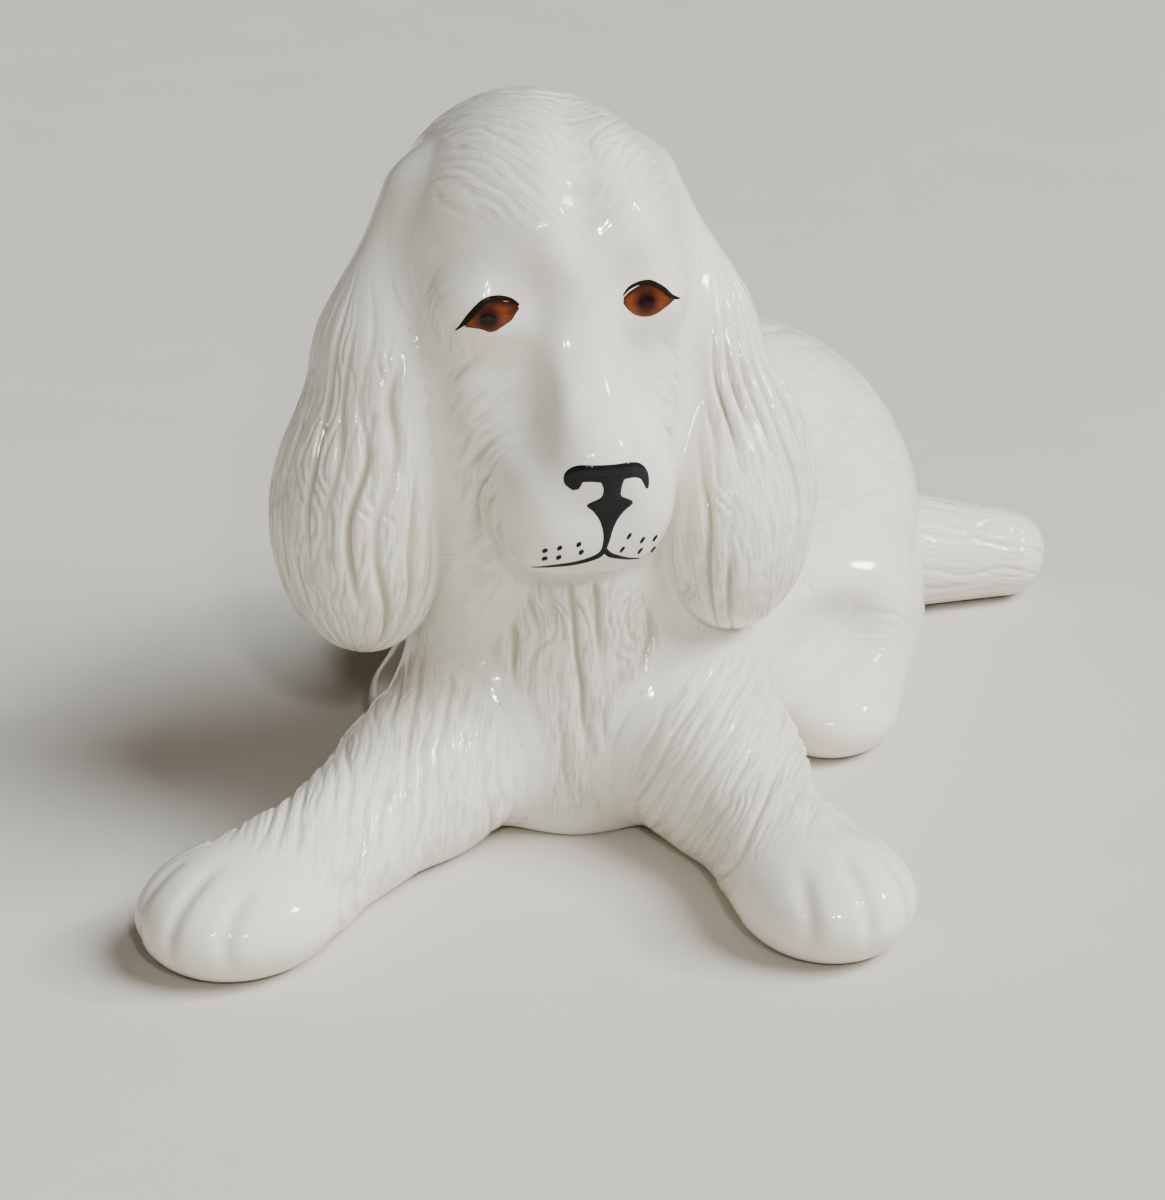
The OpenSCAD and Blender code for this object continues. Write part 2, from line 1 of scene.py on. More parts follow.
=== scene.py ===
# %% [markdown]
# # A lying spaniel in white porcelain
# The ornament is slip cast in pieces, luted together and covered in one clear glossy glaze, with the
# eyes, nose and mouth fired on in enamel. The CAD part gives the solid pieces and their places.
# This lesson dresses them: each casting gets a fine skin with combed hair pressed into it, and the
# glaze runs over the joints so that the pieces read as one dog while they stay separate.

import bpy
import numpy as np
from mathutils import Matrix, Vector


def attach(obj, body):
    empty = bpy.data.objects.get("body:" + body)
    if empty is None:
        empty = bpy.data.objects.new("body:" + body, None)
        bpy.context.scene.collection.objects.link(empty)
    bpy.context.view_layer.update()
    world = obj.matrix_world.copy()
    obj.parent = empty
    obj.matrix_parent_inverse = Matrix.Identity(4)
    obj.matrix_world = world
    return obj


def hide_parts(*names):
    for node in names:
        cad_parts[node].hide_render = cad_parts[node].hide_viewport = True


MM = 0.001  # metres in a millimetre
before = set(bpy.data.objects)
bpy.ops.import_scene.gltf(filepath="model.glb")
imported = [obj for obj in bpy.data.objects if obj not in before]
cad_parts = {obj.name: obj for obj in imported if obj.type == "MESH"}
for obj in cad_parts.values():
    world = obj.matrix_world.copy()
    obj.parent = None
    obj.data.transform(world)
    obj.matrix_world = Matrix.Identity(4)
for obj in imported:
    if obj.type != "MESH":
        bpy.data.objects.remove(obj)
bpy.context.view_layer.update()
print("CAD nodes:", len(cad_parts))

# %% [markdown]
# ## Clay lumps
# A modeller builds an animal from balls and rolls of clay and smooths them into one another. The same
# works in numbers: each lump has a distance, negative inside it, and a smooth minimum melts two
# distances together. Subdividing a hand-made cage would do as well, but then every change of
# proportion would move dozens of points. All sizes here are in millimetres, as in the CAD source.

# %% Lumps and how they melt
LEFT, RIGHT = 1, -1  # the dog's own sides: its left is +X


def turned(about_y=0.0, about_z=0.0):
    """Matrix of a turn by so many degrees about y, then z."""
    y, z = np.radians((about_y, about_z))
    pitch = np.array([[np.cos(y), 0, np.sin(y)], [0, 1, 0], [-np.sin(y), 0, np.cos(y)]])
    yaw = np.array([[np.cos(z), -np.sin(z), 0], [np.sin(z), np.cos(z), 0], [0, 0, 1]])
    return yaw @ pitch


def ball(place, size, turn=np.eye(3), soft=4.0, sign=1):
    """An ellipsoid of full size `size`; sign -1 makes it a dent."""
    half = np.array(size, float) / 2
    return {"place": np.array(place, float), "half": half, "turn": turn, "soft": soft, "sign": sign}


def limb(start, end, start_width, end_width, soft=4.0):
    """A roll of clay between two points, with its width changing evenly along it."""
    ends = np.array(start, float), np.array(end, float)
    return {"ends": ends, "radii": (start_width / 2, end_width / 2), "soft": soft, "sign": 1}


def to_lump(points, lump):
    """Distance to a lump. For a ball, with q the offset over the half sizes, it is |q| (|q| - 1) over the
    length of q over the half sizes; for a limb, the distance to its axis less its radius there."""
    if "half" in lump:
        q = (points - lump["place"]) @ lump["turn"] / lump["half"]
        length = np.sqrt((q * q).sum(-1))
        slope = np.sqrt(((q / lump["half"]) ** 2).sum(-1))
        return length * (length - 1) / np.maximum(slope, 1e-6)
    start, end = lump["ends"]
    axis = end - start
    share = np.clip(((points - start) @ axis) / (axis @ axis), 0, 1)
    offset = points - start - share[..., None] * axis
    first, last = lump["radii"]
    return np.sqrt((offset * offset).sum(-1)) - first - (last - first) * share


def melt(a, b, soft):
    """Smooth minimum: where a and b differ by less than `soft`, the join is filled by a parabola."""
    near = np.maximum(soft - np.abs(a - b), 0) / soft
    return np.minimum(a, b) - near * near * soft / 4


def to_clay(points, lumps):
    """Folds the lumps one after another: balls and limbs are added, dents are pressed in."""
    total = to_lump(points, lumps[0])
    for lump in lumps[1:]:
        sign = lump["sign"]
        total = sign * melt(sign * total, to_lump(points, lump), lump["soft"])
    return total


def ramp(low, high, value):
    """0 at `low` and before it, 1 at `high` and past it, and 3 t t - 2 t t t between them."""
    t = np.clip((value - low) / (high - low), 0, 1)
    return t * t * (3 - 2 * t)


# %% [markdown]
# ## The head's axes
# The head looks a little to the dog's left, so its lumps are placed in the head's own axes: across to
# the dog's left, forward along the nose, and up.

# %% Head axes
HEAD_AT = np.array([-6.2, -18.0, 83.5])  # middle of the skull
HEAD_TURN = turned(about_z=15.5)  # degrees towards the dog's left


def in_head(across, forward, up):
    """Place on the table of a point given in the head's axes."""
    return HEAD_AT + HEAD_TURN @ np.array([across, -forward, up], float)


def from_head(points):
    """Across, forward and up in the head's axes, for many points at once."""
    local = (points - HEAD_AT) @ HEAD_TURN
    return local[..., 0], -local[..., 1], local[..., 2]


def head_ball(place, size, turn=np.eye(3), soft=4.0, sign=1):
    """A ball placed and turned in the head's axes."""
    return ball(in_head(*place), size, HEAD_TURN @ turn, soft, sign)


def head_pair(place, size, soft, sign=1, middle=0.0):
    """Two such balls, to the right and the left of a line that lies so far across the head."""
    across, forward, up = place
    places = [(middle + across * side, forward, up) for side in (RIGHT, LEFT)]
    return [head_ball(place, size, soft=soft, sign=sign) for place in places]


def head_limb(start, end, start_width, end_width, soft=4.0):
    """A limb placed in the head's axes."""
    return limb(in_head(*start), in_head(*end), start_width, end_width, soft)


# %% [markdown]
# ## Castings and their joints
# Each casting has its lumps, a spine, from which its skin is found by walking outwards, and a fillet,
# which says how much glaze and slip fills the corner where it meets the others. The ears lie loosely
# on the cheeks, so their fillet is small; the legs grow out of the body, so theirs is large.

# %% Castings
LEFT_FORELEG = (13.4, -18, 18.5), 23.4, 46.8  # shoulder, splay in degrees, length to the middle of the paw
RIGHT_FORELEG = (-13.6, -20, 17), -34.5, 55.8
ELBOW_REACH, ELBOW_HEIGHT = 15, 10.75
WRIST_SETBACK, WRIST_HEIGHT = 15, 6.8  # how far behind the middle of the paw, and how high
PAW_HEIGHT, PAW_SPINE_HEIGHT, HIND_FOOT_HEIGHT = 6.7, 7, 5.5
LEFT_HIP, RIGHT_HIP = np.array([37, 26, 14.0]), np.array([-14, 26, 14.0])
TAIL_ROOT, TAIL_END = (40, 55, 10.4), (66.0, 62.0, 7.0)
EAR_END = -55  # height of the ears' lower ends in the head's axes


def casting(lumps, spine, rays, fillet, hidden_side=(0, 0, -1)):
    """rays: how many run round the spine, over its first end, along it and over its last end.
    hidden_side: the direction out of sight in which the first of them points, where the grid closes."""
    return {
        "lumps": lumps,
        "spine": [np.array(end, float) for end in spine],
        "rays": rays,
        "fillet": fillet if callable(fillet) else lambda height: fillet,
        "hidden": np.array(hidden_side, float),
    }


def torso():
    """The body, walked from the rump to the neck."""
    lumps = [
        ball((-2, -10, 24), (42, 40, 72)),  # chest
        ball((6, 14, 22), (54, 68, 66), soft=10),  # barrel
        ball((20, 34, 22), (62, 60, 66), soft=10),  # rump
        limb((-4, -8, 40), (-5.5, -11.5, 56), 37, 34, soft=8),  # neck
        ball((-1, -23.5, 25), (24, 20.6, 62), soft=5),  # ruff of hair down the chest
    ]
    return casting(lumps, ((12, 44, 25), (-3, -8, 40)), (340, 90, 70, 120), fillet=5)


def head():
    """The head, walked from the skull to the lips. It was modelled by hand and isn't quite even."""
    lumps = [
        head_ball((0, -3, 0), (39.2, 46, 40)),  # skull
        head_ball((0, 6, 3), (29, 25, 28), soft=8),  # forehead
        *head_pair((9, 3, -18), (20, 30, 34), soft=8),  # cheeks
        *head_pair((11.5, 2, -31), (17.5, 25, 44), soft=6),  # jowls
        head_limb((0, 3, -7), (0.5, 17, -25.5), 33, 20, soft=7),  # muzzle
        head_limb((-2.2, 12, -1), (-2.4, 26.2, -18), 8, 7.6, soft=3),  # right edge of the bridge
        head_limb((2.2, 12, -1), (3.4, 26.2, -18), 8, 7.6, soft=3),  # left edge of the bridge
        head_ball((-4.6, 23.8, -28.0), (13.6, 15.4, 19.2), soft=7),  # right lip
        head_ball((5.7, 23.8, -27.8), (13, 15.4, 18.6), soft=7),  # left lip
        head_ball((0.6, 28.4, -21.5), (11.2, 9.2, 8.8)),  # nose
        head_ball((-0.6, 21.5, -33.4), (17, 16, 8), soft=5),  # chin
        *head_pair((9.5, 27, -11.5), (7, 13, 15), soft=7, sign=-1),  # hollows beside the bridge
        *head_pair((10.6, 13.6, -3.8), (12, 11, 10), soft=4),  # eyeballs
        *head_pair((7.2, 24.6, 2.5), (4, 8, 9), soft=6, sign=-1),  # hollows over the eyes
        *head_pair((4.4, 13.2, 6), (9.5, 11.8, 8.5), soft=6, middle=2.3),  # brows
    ]
    return casting(lumps, (in_head(0, 0, 3), in_head(0, 20.5, -20)), (320, 110, 80, 100), fillet=10)


def ear_fillet(height):
    """An ear grows out of the skull softly, and hangs free of the chest and legs further down."""
    return 0.6 + 2.2 * ramp(44, 60, height)


def ear(side, lobe_turn, forward, lobe_height, breadth):
    """A root on the skull, a neck down the cheek and a full lobe, walked from the neck to the lobe."""
    lobe_at = (26.3 * side, forward, lobe_height / 2 + EAR_END)
    lumps = [
        head_limb((14.3 * side, -3, 6), (20.2 * side, -1, -12), 13, 17),
        head_ball((23.6 * side, 1, -22), (17, 26, 36), turned(about_y=-16 * side), soft=8),
        head_ball(lobe_at, (22, breadth, lobe_height), turned(about_z=lobe_turn * side), soft=8),
    ]
    spine = (in_head(23.4 * side, -1, -10), in_head(26.3 * side, 4, -43))
    return casting(lumps, spine, (300, 90, 120, 90), ear_fillet, hidden_side=(-side, 0, 0))


def foreleg_point(shoulder, splay, length, height):
    """Point so far along a foreleg, which runs straight out at its splay angle."""
    angle = np.radians(splay)
    return np.array([shoulder[0] + length * np.sin(angle), shoulder[1] - length * np.cos(angle), height])


def foreleg(shoulder, splay, length, paw_size):
    """Shoulder to elbow, elbow to wrist, and the paw, walked from the elbow to the middle of the paw."""
    elbow = foreleg_point(shoulder, splay, ELBOW_REACH, ELBOW_HEIGHT)
    wrist = foreleg_point(shoulder, splay, length - WRIST_SETBACK, WRIST_HEIGHT)
    lumps = [
        limb(shoulder, elbow, 22.6, 21.6),
        limb(elbow, wrist, 21.6, 17.4, soft=5),
        ball(foreleg_point(shoulder, splay, length, PAW_HEIGHT), paw_size, turned(about_z=splay), soft=8),
    ]
    spine = (elbow, foreleg_point(shoulder, splay, length, PAW_SPINE_HEIGHT))
    return casting(lumps, spine, (250, 70, 120, 90), fillet=10)


def hind_leg(hip, edge, fold, foot, turn):
    """Thigh, its rolled front edge, the fold under that edge and the foot, all given from the hip, walked
    from the knee to the hip."""
    lumps = [
        ball(hip, (28, 42, 34), turned(about_z=turn)),
        limb(hip + edge[0], hip + edge[1], 9, 11, soft=7),
        ball(hip + fold, (29, 17, 14), turned(about_z=turn), soft=5, sign=-1),
        ball((hip[0] + foot[0], hip[1] + foot[1], HIND_FOOT_HEIGHT), (21, 27, 14.5), soft=7),
    ]
    return casting(lumps, (hip + (-1, -16, -2), hip + (0, 4, 0)), (240, 80, 50, 90), fillet=5)


def tail():
    """The tail, walked along the part that shows."""
    lumps = [limb(TAIL_ROOT, TAIL_END, 20.8, 14)]
    return casting(lumps, ((49, 57.5, 9), (59.5, 60.3, 7)), (160, 50, 40, 50), fillet=5)


castings = {
    "left_hind_leg": hind_leg(LEFT_HIP, ((-11, -26, 7.7), (3, -11, 7.7)), (-5, -27, 3.4), (-1, -20), turn=8),
    "right_hind_leg": hind_leg(RIGHT_HIP, ((-4, -14, 4), (-6, -6, 4)), (-5, -33, 6), (-7, -18), turn=12),
    "torso": torso(),
    "tail": tail(),
    "head": head(),
    "left_foreleg": foreleg(*LEFT_FORELEG, paw_size=(24, 28.5, 16.6)),
    "right_foreleg": foreleg(*RIGHT_FORELEG, paw_size=(26, 30, 16.6)),
    "left_ear": ear(LEFT, lobe_turn=-24, forward=7.5, lobe_height=34.6, breadth=37),
    "right_ear": ear(RIGHT, lobe_turn=-12, forward=3, lobe_height=33, breadth=30),
}
print("castings:", ", ".join(castings))

# %% [markdown]
# ## One glazed surface, nine pieces
# All the castings together make one smooth surface. A piece follows that surface wherever it is the
# nearest clay, and where a neighbour is nearer it tucks in under it. So the pieces meet along clean
# lines with no step, as under a real glaze, and each is still a closed shell of its own.

# %% The surface of the whole dog and of one piece
FOOT_EDGE = 1.2  # rounding where the skin meets the table
TUCK_START = 1.8  # how far a piece runs on past the joint before it tucks in
TUCK = 0.5  # how gently it starts to tuck in under its neighbour
TUCK_DEPTH = 2.0  # how steeply it goes on


def company(name):
    """The castings that come near one of them, itself included."""
    side = name.split("_")[0]
    near = {
        "torso": list(castings),
        "head": ["torso", "head", "left_foreleg", "right_foreleg", "left_ear", "right_ear"],
        "tail": ["left_hind_leg", "torso", "tail"],
        "ear": ["torso", "head", side + "_foreleg", side + "_ear"],
        "foreleg": [side + "_hind_leg", "torso", "head", "left_foreleg", "right_foreleg", side + "_ear"],
        "leg": ["left_hind_leg", "right_hind_leg", "torso", "tail", side + "_foreleg"],
    }[name.split("_")[-1]]
    return [other for other in castings if other in near]


def to_dog(points, names):
    """Distance to those castings together, cut off by the table, and the distance to each by itself."""
    parts = {name: to_clay(points, castings[name]["lumps"]) for name in names}
    total = parts[names[0]]
    for name in names[1:]:
        total = melt(total, parts[name], castings[name]["fillet"](points[..., 2]))
    return -melt(-total, points[..., 2], FOOT_EDGE), parts


def lead_of(name, parts):
    """How much nearer a casting is than the nearest of the others."""
    return np.minimum.reduce([distance for other, distance in parts.items() if other != name]) - parts[name]


def to_piece(points, name):
    """The dog's surface, pushed in by d d / (d + TUCK), times TUCK_DEPTH, where another casting is nearer
    by d more than TUCK_START."""
    total, parts = to_dog(points, company(name))
    behind = np.maximum(-lead_of(name, parts) - TUCK_START, 0)
    return total + TUCK_DEPTH * behind * behind / (behind + TUCK)


# %% [markdown]
# ## Finding the skin
# Rays leave the spine all round it and fan out over its two ends, and each walks outwards until it
# leaves the clay. The rays form a grid, so their ends do too, and the grid closes to a point at each end.

# %% Rays and how far they reach
FINENESS = 1.0  # share of the rays that are walked
MOST_STEPS, STEP_SHARE, SHORTEST_STEP, LONGEST_STEP = 80, 0.9, 0.15, 6  # of a walk out of the clay
NARROWINGS, SHARE_LIMITS = 4, (0.02, 0.98)  # of the false position at the end of it


def unit(vectors):
    """Vectors made one long."""
    return vectors / np.sqrt((vectors * vectors).sum(-1, keepdims=True))


def rays_of(piece):
    """Starts and directions of the rays, as grids of rows along the spine by columns round it. The tilt
    from the spine's axis goes from 180 degrees to 90 over the first end and from 90 to 0 over the last."""
    first, last = piece["spine"]
    around, over_first, along, over_last = (int(count * FINENESS) for count in piece["rays"])
    axis = unit(last - first)
    aside = unit(piece["hidden"] - axis * (piece["hidden"] @ axis))
    across = np.cross(axis, aside)
    first_end = np.linspace(180, 90, over_first, endpoint=False)
    last_end = np.linspace(90, 0, over_last + 1)[1:]
    tilt = np.radians(np.concatenate([first_end, np.full(along, 90.0), last_end]))
    share = np.concatenate([np.zeros(over_first), np.linspace(0, 1, along), np.ones(over_last)])
    angle = np.linspace(0, 2 * np.pi, around, endpoint=False)
    outwards = np.cos(angle)[:, None] * aside + np.sin(angle)[:, None] * across
    starts = (first + share[:, None] * (last - first))[:, None] + np.zeros((1, around, 3))
    aims = np.sin(tilt)[:, None, None] * outwards + np.cos(tilt)[:, None, None] * axis
    return starts, aims


def reach(field, starts, aims):
    """Distance from each start at which `field` turns positive: steps as long as the clay allows, and then
    the crossing narrowed down by false position."""
    inner = np.zeros(len(starts))
    inner_value = field(starts)
    outer, outer_value = inner.copy(), inner_value.copy()
    going = np.flatnonzero(inner_value < 0)
    for _ in range(MOST_STEPS):
        if not len(going):
            break
        inner[going], inner_value[going] = outer[going], outer_value[going]
        outer[going] += np.clip(-STEP_SHARE * inner_value[going], SHORTEST_STEP, LONGEST_STEP)
        outer_value[going] = field(starts[going] + aims[going] * outer[going, None])
        going = going[outer_value[going] < 0]
    for _ in range(NARROWINGS):
        share = np.clip(inner_value / np.minimum(inner_value - outer_value, -1e-9), *SHARE_LIMITS)
        middle = inner + (outer - inner) * share
        value = field(starts + aims * middle[:, None])
        inside = value < 0
        inner, inner_value = np.where(inside, middle, inner), np.where(inside, value, inner_value)
        outer, outer_value = np.where(inside, outer, middle), np.where(inside, outer_value, value)
    return (inner + outer) / 2


def upright(field, points, step=0.2):
    """Direction square to the surface: the slope of the field, from differences over a small step."""
    slope = [field(points + step * side) - field(points - step * side) for side in np.eye(3)]
    return unit(np.stack(slope, -1))


# %% Grids become meshes
def closed_faces(rows, around):
    """Faces of a grid that closes round its columns and narrows to one point at its first and last row.
    Vertex 0 is the first point, then come the rows between, and the last vertex is the last point."""
    column = np.arange(around)
    following = (column + 1) % around
    row = 1 + around * np.arange(rows - 3)[:, None]
    below = row + around
    quads = np.stack([row + column, row + following, below + following, below + column], -1)
    last = 1 + around * (rows - 2)
    first_fan = np.stack([np.zeros_like(column), 1 + following, 1 + column], -1)
    last_fan = np.stack([np.full_like(column, last), last - around + column, last - around + following], -1)
    return quads.reshape(-1, 4).tolist() + first_fan.tolist() + last_fan.tolist()


def one_vertex_each(grid):
    """A grid's values as a list of vertices: one for the first row, one for the last, all between."""
    flat = grid[1:-1].reshape(-1, *grid.shape[2:])
    return np.concatenate([grid[:1, 0], flat, grid[-1:, 0]])


def in_scene(title, data):
    """A new object in the scene."""
    thing = bpy.data.objects.new(title, data)
    bpy.context.scene.collection.objects.link(thing)
    return thing


def make_piece(name, vertices, faces, material, measures):
    """A mesh object from vertices in millimetres. `measures` are named numbers kept on every vertex."""
    mesh = bpy.data.meshes.new(name)
    mesh.from_pydata((vertices * MM).tolist(), [], faces)
    mesh.validate()
    for title, values in measures.items():
        mesh.attributes.new(title, "FLOAT", "POINT").data.foreach_set("value", values.astype(np.float32))
    mesh.shade_smooth()
    mesh.materials.append(material)
    return in_scene(name, mesh)


# %% [markdown]
# ## Combed hair
# The hair is pressed into the mould as wavy locks with partings between them, and the glaze softens it.
# The partings are evenly spaced in a coordinate that runs across the hair. Smooth noise bends that
# coordinate and fades the partings, so locks wander, merge and end. A bump map would do for the fine
# strands, but the locks are deep enough to show on the outline, so they move the skin itself.

# %% Noise and locks
CELLS = 32  # of the noise, each way, before it repeats
LATTICE = np.random.default_rng(7).uniform(-1, 1, (CELLS, CELLS, CELLS))  # the same in each run
GROOVE = 0.17  # breadth of a parting, as a share of the lock's width
NARROW = 0.46  # width of the split locks, as a share of the broad ones


def bell(offset, width):
    """1 at offset 0, falling to 1/e at `width` to each side."""
    return np.exp(-((offset / width) ** 2))


def grain(x, y, z):
    """Smooth noise from -1 to 1: random heights at the eight corners round a point, mixed by smooth steps."""
    place = np.stack(np.broadcast_arrays(x, y, z), -1)
    corner = np.floor(place).astype(int)
    t = ramp(0, 1, place - corner)
    low, high = corner % CELLS, (corner + 1) % CELLS
    total = 0.0
    for bits in np.ndindex(2, 2, 2):
        pick = [high[..., n] if bit else low[..., n] for n, bit in enumerate(bits)]
        share = [t[..., n] if bit else 1 - t[..., n] for n, bit in enumerate(bits)]
        total = total + LATTICE[pick[0], pick[1], pick[2]] * share[0] * share[1] * share[2]
    return total


def partings(across, along, width, wander, seed):
    """Grooves between locks, 0 to 1. The across coordinate is bent by coarse and fine noise and cut into
    widths; each parting is a bell-shaped groove that fades in and out along its own length."""
    bend = wander * grain(across / (5 * width), along / (4.5 * width), seed)
    bend = bend + 0.35 * wander * grain(across / (2 * width), along / (2 * width), seed + 3)
    place = (across + bend) / width
    number = np.round(place)
    strength = ramp(-0.45, 0.25, grain(7.31 * number, along / (4 * width), seed + 9))
    return strength * bell(place - number, GROOVE)


def locks(across, along, width, wander, seed, split=0.5):
    """Height of combed hair, from 0 in a parting to 1 on a lock, with shallower partings in broad locks."""
    broad = partings(across, along, width, wander, seed)
    narrow = partings(across + 0.4 * width, along, NARROW * width, 0.8 * wander, seed + 5)
    return 1 - np.maximum(broad, split * narrow)


# %% [markdown]
# ## Where the hair lies
# Each piece says how its hair is combed: one coordinate across the hair and one along it, both in
# millimetres, and how hairy it is. The locks use them to move the skin, and they are kept on the
# vertices so that the finish can draw strands that are finer than the mesh.

# %% Hair of each piece
LEVEL, EAR_LEVEL = 0.7, 0.8  # share of a lock's height that lies below the smooth surface
CROWN_DEPTH, RUFF_DEPTH, COAT_DEPTH, EAR_DEPTH = 0.22, 1.1, 0.25, 1.15  # from a lock to its parting
FORELEG_DEPTH, THIGH_DEPTH, TAIL_DEPTH = 0.48, 0.3, 0.35
FURROW_DEPTH, FURROW_WIDTH = 1.5, 3.4
CREASE_DEPTH, CREASE_WIDTH = 0.6, 2.8
TOE_DEPTH, TOE_WIDTH = 0.55, 1.3
TOE_GROOVES = [(-5.4, -0.16), (0.2, 0.0), (5.6, 0.16)]  # place beside the leg's line, drift per mm ahead
LEG_SLOPE = np.array([0, 0.37, 0.93])  # upwards, square to a foreleg's top


def combed(height, parting, across, along, hairy):
    """What a piece's hair gives: the skin's height, and the measures that are kept on the vertices. The
    parting measure darkens the glaze colour, as pooled glaze and painted shade.
    """
    return height, {"parting": parting, "comb_across": across, "comb_along": along, "hairy": hairy}


def past_joint(lead):
    """0 where two pieces overlap at a joint, rising to 1 further on: the hair starts clear of the joint."""
    return ramp(TUCK_START, TUCK_START + 3, lead)


def crease(lead):
    """Depth of the soft crease that is modelled round the haunches and the root of the tail."""
    return CREASE_DEPTH * bell(lead, CREASE_WIDTH)


def ear_relief(seed):
    """Long locks down the ear, shallow at the root, deep on the lobe and soft at its rim."""

    def relief(points, girth, lead):
        up = from_head(points)[2]
        lock = locks(girth, -up, width=4.0, wander=4.2, seed=seed, split=0.35)
        hairy = ramp(0, -20, up) * (1 - 0.7 * ramp(-47, EAR_END, up)) * past_joint(lead)
        return combed(EAR_DEPTH * hairy * (lock - EAR_LEVEL), hairy * (1 - lock), girth, -up, 0.8 * hairy)

    return relief


def head_relief(points, girth, lead):
    """Fine hair drawn back and out from the parting over the skull, a furrow up the forehead, and locks
    down the cheeks and jowls. The bridge, lips and eyelids are bare."""
    across, forward, up = from_head(points)
    beside = np.sqrt((across - 2) ** 2 + 4)
    over = 20 * np.arctan2(up + 4, forward + 3)
    crown_across, crown_along = 0.77 * beside - 0.64 * over, 0.64 * beside + 0.77 * over
    parted = locks(crown_across, crown_along, width=1.5, wander=1.8, seed=11)
    crown = ramp(6, 12, up) * past_joint(lead)
    cheek_across, cheek_along = 0.85 * forward - 0.4 * up, -up - 0.4 * forward
    hanging = locks(cheek_across, cheek_along, width=2.8, wander=2.6, seed=15)
    cheek = ramp(3, -3, up) * ramp(19, 12, forward + 0.25 * up) * ramp(6, 12, beside)
    cheek = cheek * past_joint(lead)
    shaggy = 0.4 + 0.45 * ramp(-12, -26, up)
    furrow = bell(across - 1.3 - 0.2 * (21 - forward), FURROW_WIDTH)
    furrow = furrow * ramp(1, 9, up) * ramp(-8, 4, forward)
    height = CROWN_DEPTH * crown * (parted - LEVEL) + shaggy * cheek * (hanging - LEVEL)
    height = height - FURROW_DEPTH * furrow
    # the partings and the furrow darken the glaze to beige: pooled glaze and painted shade
    parting = 0.4 * crown * (1 - parted) + shaggy * cheek * (1 - hanging) + 0.3 * furrow
    on_crown = crown > cheek
    comb_across = np.where(on_crown, crown_across, cheek_across)
    comb_along = np.where(on_crown, crown_along, cheek_along)
    return combed(height, parting, comb_across, comb_along, np.maximum(0.6 * crown, 0.8 * cheek))


def torso_relief(points, girth, lead):
    """Deep wavy locks down the ruff, and shallow hair that lies back along the body."""
    x, y, z = points[..., 0], points[..., 1], points[..., 2]
    ruff = ramp(17, 9, np.abs(x + 1)) * ramp(-12, -20, y) * ramp(2, 8, z)
    coat = ramp(-8, 2, y) * ramp(62, 48, y) * ramp(3, 10, z)
    ruff, coat = ruff * past_joint(lead), coat * past_joint(lead)
    wavy = locks(x, -z, width=3.2, wander=3.2, seed=21)
    laid = locks(girth, y, width=4.2, wander=4.6, seed=25)
    height = RUFF_DEPTH * ruff * (wavy - LEVEL) + COAT_DEPTH * coat * (laid - LEVEL)
    height = height - crease(lead) * ramp(4, 12, y) * ramp(52, 44, z)
    parting = ruff * (1 - wavy) + 0.25 * coat * (1 - laid)
    on_ruff = ruff > coat
    across, along = np.where(on_ruff, x, girth), np.where(on_ruff, -z, y)
    return combed(height, parting, across, along, np.maximum(ruff, 0.35 * coat))


def toe_grooves(ahead, beside):
    """Bell-shaped grooves between the toes, from the top of the paw down its front."""
    total = sum(bell(beside - place - drift * ahead, TOE_WIDTH) for place, drift in TOE_GROOVES)
    return total * ramp(2, 9, ahead)


def foreleg_relief(shoulder, splay, length, lean):
    """Short strokes of hair that lie down over the leg, leaning by so many degrees, and the toes' grooves."""
    sine, cosine = np.sin(np.radians(splay)), np.cos(np.radians(splay))
    lean_sine, lean_cosine = np.sin(np.radians(lean)), np.cos(np.radians(lean))

    def relief(points, girth, lead):
        offset = points - np.array(shoulder)
        ahead = offset @ np.array([sine, -cosine, 0]) - length
        beside = offset @ np.array([cosine, sine, 0])
        upwards = points @ LEG_SLOPE
        across = lean_cosine * points[..., 0] - lean_sine * upwards
        along = -lean_sine * points[..., 0] - lean_cosine * upwards
        hairy = past_joint(lead) * ramp(2, -9, ahead) * ramp(1.5, 5, points[..., 2])
        hairy = hairy * (0.75 + 0.25 * grain(ahead / 8, girth / 8, 33))
        strokes = locks(across, along, width=2.2, wander=1.6, seed=35)
        groove = toe_grooves(ahead, beside) * ramp(1, 8, points[..., 2])
        height = FORELEG_DEPTH * hairy * (strokes - LEVEL) - TOE_DEPTH * groove
        # the partings and the toe grooves darken the glaze to beige: pooled glaze and painted shade
        return combed(height, 0.8 * hairy * (1 - strokes) + 0.5 * groove, across, along, hairy)

    return relief


def hind_leg_relief(points, girth, lead):
    """Hair that lies back along the thigh; the foot is smooth."""
    y, z = points[..., 1], points[..., 2]
    hairy = past_joint(lead) * ramp(8, 18, z)
    across, along = y + 0.7 * z, y - z
    strokes = locks(across, along, width=3.4, wander=3.0, seed=41)
    height = THIGH_DEPTH * hairy * (strokes - LEVEL) - crease(lead) * ramp(4, 12, y)
    return combed(height, 0.3 * hairy * (1 - strokes), across, along, 0.35 * hairy)


def tail_relief(points, girth, lead):
    """Locks along the tail."""
    along = (points - np.array(TAIL_ROOT)) @ unit(np.subtract(TAIL_END, TAIL_ROOT))
    hairy = past_joint(lead) * ramp(1, 4, points[..., 2])
    lock = locks(girth, along, width=3.2, wander=2.8, seed=45)
    height = TAIL_DEPTH * hairy * (lock - LEVEL) - crease(lead)
    return combed(height, 0.4 * hairy * (1 - lock), girth, along, 0.5 * hairy)


reliefs = {
    "left_hind_leg": hind_leg_relief,
    "right_hind_leg": hind_leg_relief,
    "torso": torso_relief,
    "tail": tail_relief,
    "head": head_relief,
    "left_foreleg": foreleg_relief(*LEFT_FORELEG, lean=30),
    "right_foreleg": foreleg_relief(*RIGHT_FORELEG, lean=5),
    "left_ear": ear_relief(seed=10),
    "right_ear": ear_relief(seed=2),
}
